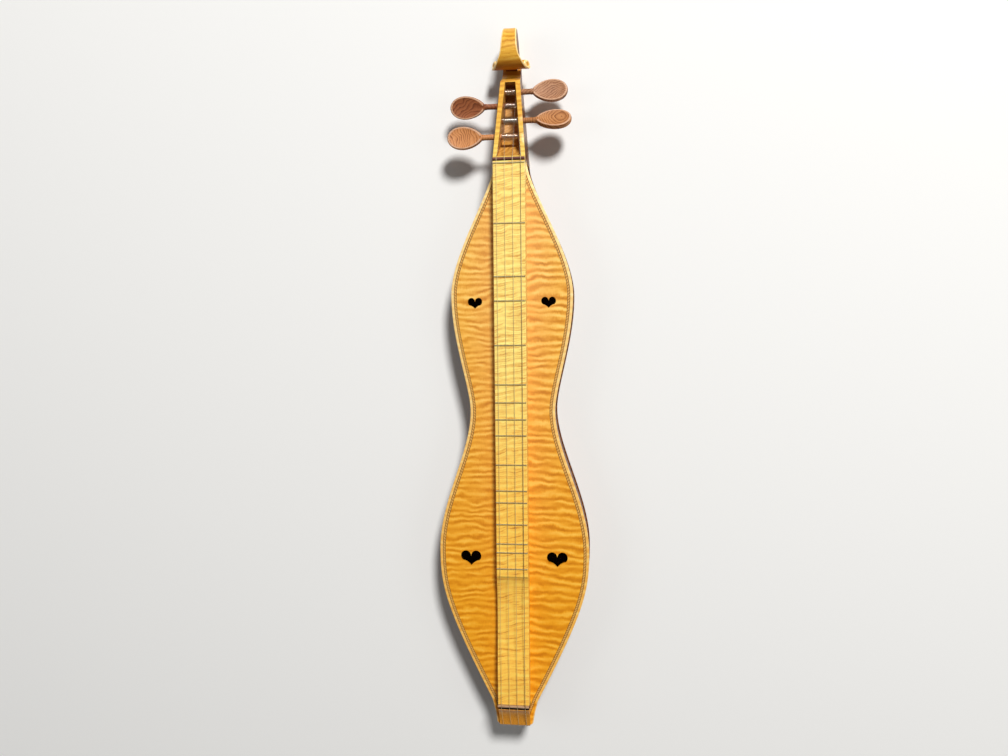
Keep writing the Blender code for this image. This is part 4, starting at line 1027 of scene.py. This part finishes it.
def scroll_skin():
    rings = []
    for i in range(97):
        turn = -105 + 355 * i / 96
        rim = smooth_value(SCROLL_RADII, turn)
        half = smooth_value(SCROLL_HALVES, turn)
        dish = min(SCROLL_DISH, (rim - EYE_RADIUS) / 3)
        edge = scroll_edge(turn, rim)
        web = min(half - dish, ear_end(EYE_RADIUS, turn) - 0.0025)
        reach = rim - edge - EYE_RADIUS
        profile = [
            (0.0, SCROLL_CORE),
            (EYE_RADIUS * 0.8, web),
            (EYE_RADIUS + 0.0001, web),
            (EYE_RADIUS + 0.25 * reach, web + 0.08 * (half - web)),
            (EYE_RADIUS + 0.55 * reach, web + 0.35 * (half - web)),
            (EYE_RADIUS + 0.80 * reach, web + 0.68 * (half - web)),
            (rim - edge, half),
            (rim - 0.45 * edge, half - 0.20 * edge),
            (rim - 0.10 * edge, half - 0.60 * edge),
            (rim, half - 1.2 * edge),
            (rim - 0.00005, (half - 1.2 * edge) / 2),
        ]
        loop = profile + [(radius, -x) for radius, x in profile[::-1]]
        angle = math.radians(turn)
        across, up = math.cos(angle), math.sin(angle)
        rings.append([(x, EYE_Y + radius * across, EYE_Z + radius * up) for radius, x in loop])
    skin = loft("scroll", rings)
    give(skin, *HEAD_FINISHES)
    for face in skin.data.polygons:
        x, y, z = face.center
        turn = math.degrees(math.atan2(z - EYE_Z, y - EYE_Y))
        turn += 360 if turn < -105 else 0
        rim = smooth_value(SCROLL_RADII, turn)
        half = smooth_value(SCROLL_HALVES, turn)
        edge = scroll_edge(turn, rim)
        radius = math.hypot(y - EYE_Y, z - EYE_Z)
        # Faces on the rounded edges, and the dished sides past 140 degrees towards the ears, take the pale edge
        # finish: a painted highlight. The other dished sides take the dark side finish: painted shade.
        if radius > rim - 1.02 * edge and abs(x) > half - 1.22 * edge:
            face.material_index = 1
        elif radius < rim - edge:
            face.material_index = 1 if turn > 140 else 3
    return skin


def ears():
    """The rod through the middle of the scroll, whose leaning ends are dished inside a rim."""
    rings = []
    for side, profile in ((-1, EAR_END), (1, EAR_END[::-1])):
        for radius, depth in profile:
            ring = []
            for i in range(48):
                turn = 360 * i / 48
                angle = math.radians(turn)
                x = side * (ear_end(radius, turn) - depth)
                y = EYE_Y + radius * math.cos(angle)
                ring.append((x, y, EYE_Z + radius * math.sin(angle)))
            rings.append(ring)
    rod = loft("ears", rings)
    give(rod, *HEAD_FINISHES)
    for face in rod.data.polygons:
        x, y, z = face.center
        radius = math.hypot(y - EYE_Y, z - EYE_Z)
        turn = math.degrees(math.atan2(z - EYE_Z, y - EYE_Y))
        # Rim faces at the ends of the ears take the pale edge finish: a painted highlight.
        on_rim = radius > 0.0027 and abs(x) > ear_end(radius, turn) - 0.0022
        face.material_index = 1 if on_rim else 0
    return rod


def heel():
    inset = OVERHANG + RIB + 0.0003
    right = side_line(1, inset, BODY_LENGTH - 0.034, BODY_LENGTH)
    right.append((right[-1][0], ZERO_Y + PEGBOX_START))
    left = [(-x, y) for x, y in right]
    return slab("heel", right + left[::-1], RIB_BOTTOM, RIB_TOP)


def pegbox_tool():
    sections = []
    for past, depth in PEGBOX_FLOOR:
        distance = PEGBOX_START + past
        y = ZERO_Y + distance
        sections.append((y, box_half(distance), SHELF - depth, SHELF + 0.002))
    space = drawn_box("pegbox_space", sections)
    give(space, *HEAD_FINISHES)
    # The faces that this tool leaves in the pegbox take the darker inside maple: painted shade.
    for face in space.data.polygons:
        face.material_index = 2
    return space


head = head_block()
cut(head, heel(), "UNION")
cut(head, scroll_skin(), "UNION")
cut(head, ears(), "UNION")
cut(head, pegbox_tool())
print("head faces before the peg holes:", len(head.data.polygons))

# %% [markdown]
# ## The pegs
#
# A friction peg is turned from rosewood: a tapered shaft through both cheeks, a bare shank and
# a small collar, then a flat head. The shaft is a circle drawn out along X and resized at each
# place. The head is a teardrop with a raised round rim and dished faces, so it is a skin over
# ever smaller teardrops, and it is joined to the shaft. Each peg stands at its own turn.

# %% Make the pegs and their holes
PEGS = (
    (0.552 * HEAD_LENGTH, 1, 0.0154, 8.0),
    (0.448 * HEAD_LENGTH, -1, 0.0199, -15.0),
    (0.332 * HEAD_LENGTH, 1, 0.0172, 30.0),
    (0.215 * HEAD_LENGTH, -1, 0.0194, 0.0),
)
PEG_RADIUS = 0.0036
PEG_TAPER = 1 / 30
PEG_HEAD_LENGTH = 0.0468
PEG_HEAD_WIDTH = 0.0288
PEG_HEAD_MIDDLE = 0.56
RIM_HALF = 0.0036
TEARDROP = 0.38


def peg_spot(peg):
    distance = PEGS[peg][0]
    return ZERO_Y + distance, cheek_top(distance) - 0.013


def peg_radius(peg, x):
    outside = head_half(PEGS[peg][0]) - PEGS[peg][1] * x
    return PEG_RADIUS - PEG_TAPER / 2 * outside


def turned_rod(name, spot, places):
    """A round rod drawn out along X through (x, radius) places."""
    y, z = spot
    x, radius = places[0]
    bpy.ops.object.select_all(action="DESELECT")
    bpy.ops.mesh.primitive_circle_add(
        vertices=40, radius=radius, fill_type="NGON", rotation=(0.0, math.pi / 2, 0.0)
    )
    piece = bpy.context.object
    piece.name = name
    bpy.ops.object.transform_apply(rotation=True)
    edit(piece)
    bpy.ops.transform.translate(value=(x, y, z))
    for next_x, next_radius in places[1:]:
        bpy.ops.mesh.extrude_region_move(TRANSFORM_OT_translate={"value": (next_x - x, 0, 0)})
        size = next_radius / radius
        bpy.ops.transform.resize(value=(1, size, size), center_override=(next_x, y, z))
        x, radius = next_x, next_radius
    close_edit()
    return piece


def teardrop(share):
    turn = math.acos(1 - 2 * share)
    widest = math.acos(-TEARDROP / (2 + TEARDROP))
    largest = math.sin(widest) * math.sin(widest / 2) ** TEARDROP
    return math.sin(turn) * math.sin(turn / 2) ** TEARDROP / largest


def peg_head(side, start):
    """The flat head: rings of ever smaller teardrops, as (size, height)."""
    face = (
        (0.06, 0.0021),
        (0.30, 0.0022),
        (0.55, 0.0025),
        (0.74, 0.0030),
        (0.86, 0.0035),
        (0.895, RIM_HALF),
        (0.935, RIM_HALF),
        (0.965, 0.0033),
        (0.988, 0.0025),
        (1.0, 0.0012),
    )
    outline = []
    for i in range(72):
        turn = 2 * math.pi * i / 72
        share = (1 - math.cos(turn)) / 2
        sign = 1 if turn < math.pi else -1
        outline.append((share * PEG_HEAD_LENGTH, sign * teardrop(share) * PEG_HEAD_WIDTH / 2))
    middle = PEG_HEAD_MIDDLE * PEG_HEAD_LENGTH
    rings = []
    for size, height in face + tuple((size, -height) for size, height in face[::-1]):
        ring = [(side * (start + middle + size * (a - middle)), size * o, height) for a, o in outline]
        rings.append(ring)
    return loft("peg_head", rings)


def make_peg(number, finish):
    distance, side, bare, turn = PEGS[number]
    y, z = peg_spot(number)
    near = head_half(distance)
    collar = near + bare
    places = [
        (-near, 0.0018),
        (-near + 0.0002, 0.0024),
        (-near + 0.0009, peg_radius(number, side * (-near + 0.0009))),
        (near + 0.0006, PEG_RADIUS),
        (collar - 0.0040, PEG_RADIUS - 0.0001),
        (collar - 0.0032, PEG_RADIUS + 0.0002),
        (collar - 0.0020, PEG_RADIUS + 0.0003),
        (collar - 0.0010, PEG_RADIUS),
        (collar + 0.0090, 0.0026),
        (collar + 0.0120, 0.0012),
    ]
    peg = turned_rod(f"tuning_peg_{number + 1}", (0.0, 0.0), [(side * x, r) for x, r in places])
    cut(peg, peg_head(side, collar - 0.0028), "UNION")
    give(peg, finish, peg_rim_highlight)
    # Faces on the rim crest of the head take the pale rim finish: a painted highlight.
    for face in peg.data.polygons:
        if abs(face.center.z) > 0.0034 and side * face.center.x > collar + 0.001:
            face.material_index = 1
    swing = Matrix.Rotation(-math.radians(turn), 4, "X")
    peg.data.transform(Matrix.Translation((0.0, y, z)) @ swing)
    smooth(peg, 40.0)
    place(peg, (), f"peg_{number + 1}", "rosewood", f"tuning_peg_{number + 1}")


for number, finish in enumerate((rosewood_grey, rosewood_dark, rosewood_light, rosewood_pink)):
    reach = HEAD_HALF + 0.001
    places = [(x, peg_radius(number, x) + 0.0002) for x in (-reach, reach)]
    cut(head, turned_rod("peg_hole", peg_spot(number), places))
    make_peg(number, finish)
smooth(head, 28.0)
place(head, HEAD_FINISHES, "body", "fingerboard_maple", "headstock")

# %% [markdown]
# ## The strings
#
# Each string is a curve: a loop round its hitch pin, up over the tail's edge, straight over the
# saddle, the zero fret and the nut, and down into the pegbox, where it is wound on its peg in
# close turns that go back over themselves. The curve is given the wire's thickness and made a
# mesh. A UV map is then made along it from the lengths between its points, and the wound wire
# reads it.

# %% Make the strings
STRINGS = ((3, 0.00045), (1, 0.00045), (0, 0.00050), (2, 0.00075))
SPACING = 0.0102
GLUE = 0.0003
NUT_Y = ZERO_Y + 0.0053
NUT_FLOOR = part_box("nut")[1][2] - 0.0006
SADDLE_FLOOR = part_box("saddle")[1][2] - 0.0006
SADDLE_Y = (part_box("saddle")[0][1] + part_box("saddle")[1][1]) / 2
FRET_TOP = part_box("zero_fret")[1][2]
TAIL_FLOOR = TOP + 0.0050 - 0.0006
PIN_Z = TOP - 0.015
WOUND_HALVES = (0.0066, 0.0077, 0.0094, 0.0104)
INNER_PITCH, OUTER_PITCH = 0.00095, 0.0019
TURN_POINTS = 24


def winding(peg, diameter, nut_point):
    """Two layers: an open outer one across the peg, then a close one back beneath it."""
    y, z = peg_spot(peg)
    side = PEGS[peg][1]
    reach = WOUND_HALVES[peg]
    outer = round(2 * reach / OUTER_PITCH)
    inner = round(2 * reach / INNER_PITCH)
    away = math.hypot(nut_point[1] - y, nut_point[2] - z)
    towards = math.atan2(nut_point[2] - z, nut_point[1] - y)
    start = peg_radius(peg, side * reach) + GLUE + 1.5 * diameter
    first = towards - math.acos(start / away)
    points = []
    for i in range((outer + inner) * TURN_POINTS + 1):
        turns = i / TURN_POINTS
        if turns < outer:
            x, lift = reach - 2 * reach * turns / outer, diameter
        else:
            x = 2 * reach * (turns - outer) / inner - reach
            lift = diameter * max(0.0, 1 - (turns - outer) / 0.7)
        radius = peg_radius(peg, side * x) + GLUE + diameter / 2 + lift
        angle = first - 2 * math.pi * turns
        points.append((side * x, y + radius * math.cos(angle), z + radius * math.sin(angle)))
    return points


def hitch_loop(x, diameter):
    radius = 0.0008 + GLUE + diameter / 2
    points = []
    for i in range(TURN_POINTS + 1):
        share = i / TURN_POINTS
        turn = 2 * math.pi * share
        y = TAIL_Y - 0.0009 - diameter / 2 - 0.0018 * (1 - share)
        points.append((x + radius * math.cos(turn), y, PIN_Z + radius * math.sin(turn)))
    return points


def string_route(index, peg, diameter):
    x = (index - 1.5) * SPACING
    lift = GLUE + diameter / 2
    edge = TAIL_FLOOR + lift
    nut = (x, NUT_Y, NUT_FLOOR + lift)
    wound = winding(peg, diameter, nut)
    fall = (nut[2] - wound[0][2]) / (wound[0][1] - nut[1])
    bends = [
        (x, TAIL_Y - lift, PIN_Z + 0.007),
        (x, TAIL_Y - lift, edge - 0.0016),
        (x, TAIL_Y + 0.0003 - lift, edge - 0.0005),
        (x, TAIL_Y + 0.0004, edge),
        (x, SADDLE_Y, SADDLE_FLOOR + lift),
        (x, ZERO_Y, FRET_TOP + lift),
        nut,
        (x, nut[1] + 0.0018, nut[2] - 0.0018 * fall),
    ]
    return [*hitch_loop(x, diameter), *bends, *wound]


def wire(name, route, diameter):
    """A poly curve with the wire's thickness, made a mesh with its length in the UV map."""
    bpy.ops.curve.primitive_nurbs_path_add(radius=1.0, location=(0.0, 0.0, 0.0))
    thread = bpy.context.object
    thread.name = name
    thread.data.splines.clear()
    line = thread.data.splines.new("POLY")
    line.points.add(len(route) - 1)
    for point, spot in zip(line.points, route):
        point.co = (*spot, 1.0)
    thread.data.dimensions = "3D"
    thread.data.bevel_depth = diameter / 2
    thread.data.bevel_resolution = 2
    thread.data.use_fill_caps = True
    only(thread)
    bpy.ops.object.convert(target="MESH")
    thread = bpy.context.object
    lengths = np.concatenate([[0.0], np.cumsum(np.linalg.norm(np.diff(route, axis=0), axis=1))])
    around = len(thread.data.vertices) // len(route)
    layer = thread.data.uv_layers.new(name="along")
    for loop in thread.data.loops:
        ring, step = divmod(loop.vertex_index, around)
        layer.data[loop.index].uv = (lengths[min(ring, len(route) - 1)], step / around)
    edit(thread)
    close_edit()
    smooth(thread, 60.0)
    return thread


for index, (peg, diameter) in enumerate(STRINGS):
    string = wire(f"string_{index + 1}", string_route(index, peg, diameter), diameter)
    give(string, wound_finish if index == 3 else steel, bright_steel)
    for face in string.data.polygons:
        face.material_index = 1 if face.center.y > NUT_Y + 0.010 else 0
    place(string, (), "body", "steel_wire", f"string_{index + 1}")

# %% [markdown]
# ## The solids that keep their shape
#
# Every solid whose shape is right keeps it and gets the finish of its material.

# %% Give each kept solid its finish
FINISH_OF_NODE = {"tailpiece": maple_tail}
FINISH_OF_SLOT = {
    "maple": maple_left,
    "maple_sides": maple_sides,
    "fingerboard_maple": maple_board,
    "spruce": spruce,
    "rope_purfling": purfling_finish,
    "rosewood": rosewood_nut,
    "bone": bone,
    "steel_wire": steel,
    "fret_wire": nickel_silver,
}
for row in frame["record"]["subparts"]:
    solid = frame["nodes"][row["node"]]
    solid.data.materials.clear()
    finish = FINISH_OF_NODE.get(row["node"], FINISH_OF_SLOT[row["material_slot"]])
    solid.data.materials.append(finish)

# %% [markdown]
# ## Floor and light
#
# The instrument lies on a plain pale floor. One large soft lamp stands beyond the head, as in
# the picture, where the pegs throw their shadows towards the tail, and weaker ones open the
# shadows from the sides.

# %% Make the floor and the lamps
bpy.ops.object.select_all(action="DESELECT")
bpy.ops.mesh.primitive_plane_add(size=14.0, location=(0.0, 0.0, -0.0005))
floor = bpy.context.object
floor.name = "floor"
floor_finish, floor_tree, floor_shader = new_finish("pale_floor", 0.9)
floor_shader.inputs["Base Color"].default_value = linear("#ecebe8")
floor.data.materials.append(floor_finish)


def soft_lamp(name, spot, size, power):
    lamp_data = bpy.data.lights.new(name, "AREA")
    lamp_data.shape = "DISK"
    lamp_data.size = size
    lamp_data.energy = power
    lamp = bpy.data.objects.new(name, lamp_data)
    lamp.location = spot
    lamp.rotation_euler = (-Vector(spot)).to_track_quat("-Z", "Y").to_euler()
    scene.collection.objects.link(lamp)


soft_lamp("main_lamp", (1.3, 2.7, 3.6), 1.0, 240.0)
soft_lamp("left_lamp", (-1.9, 0.2, 1.7), 1.4, 5.0)
soft_lamp("right_lamp", (1.9, -0.3, 1.7), 1.4, 4.0)
world = bpy.data.worlds.new("studio")
world.use_nodes = True
world.node_tree.nodes["Background"].inputs["Color"].default_value = linear("#f2f2f2")
world.node_tree.nodes["Background"].inputs["Strength"].default_value = 0.12
scene.world = world
scene.view_settings.view_transform = "Standard"
print("floor and lamps set")
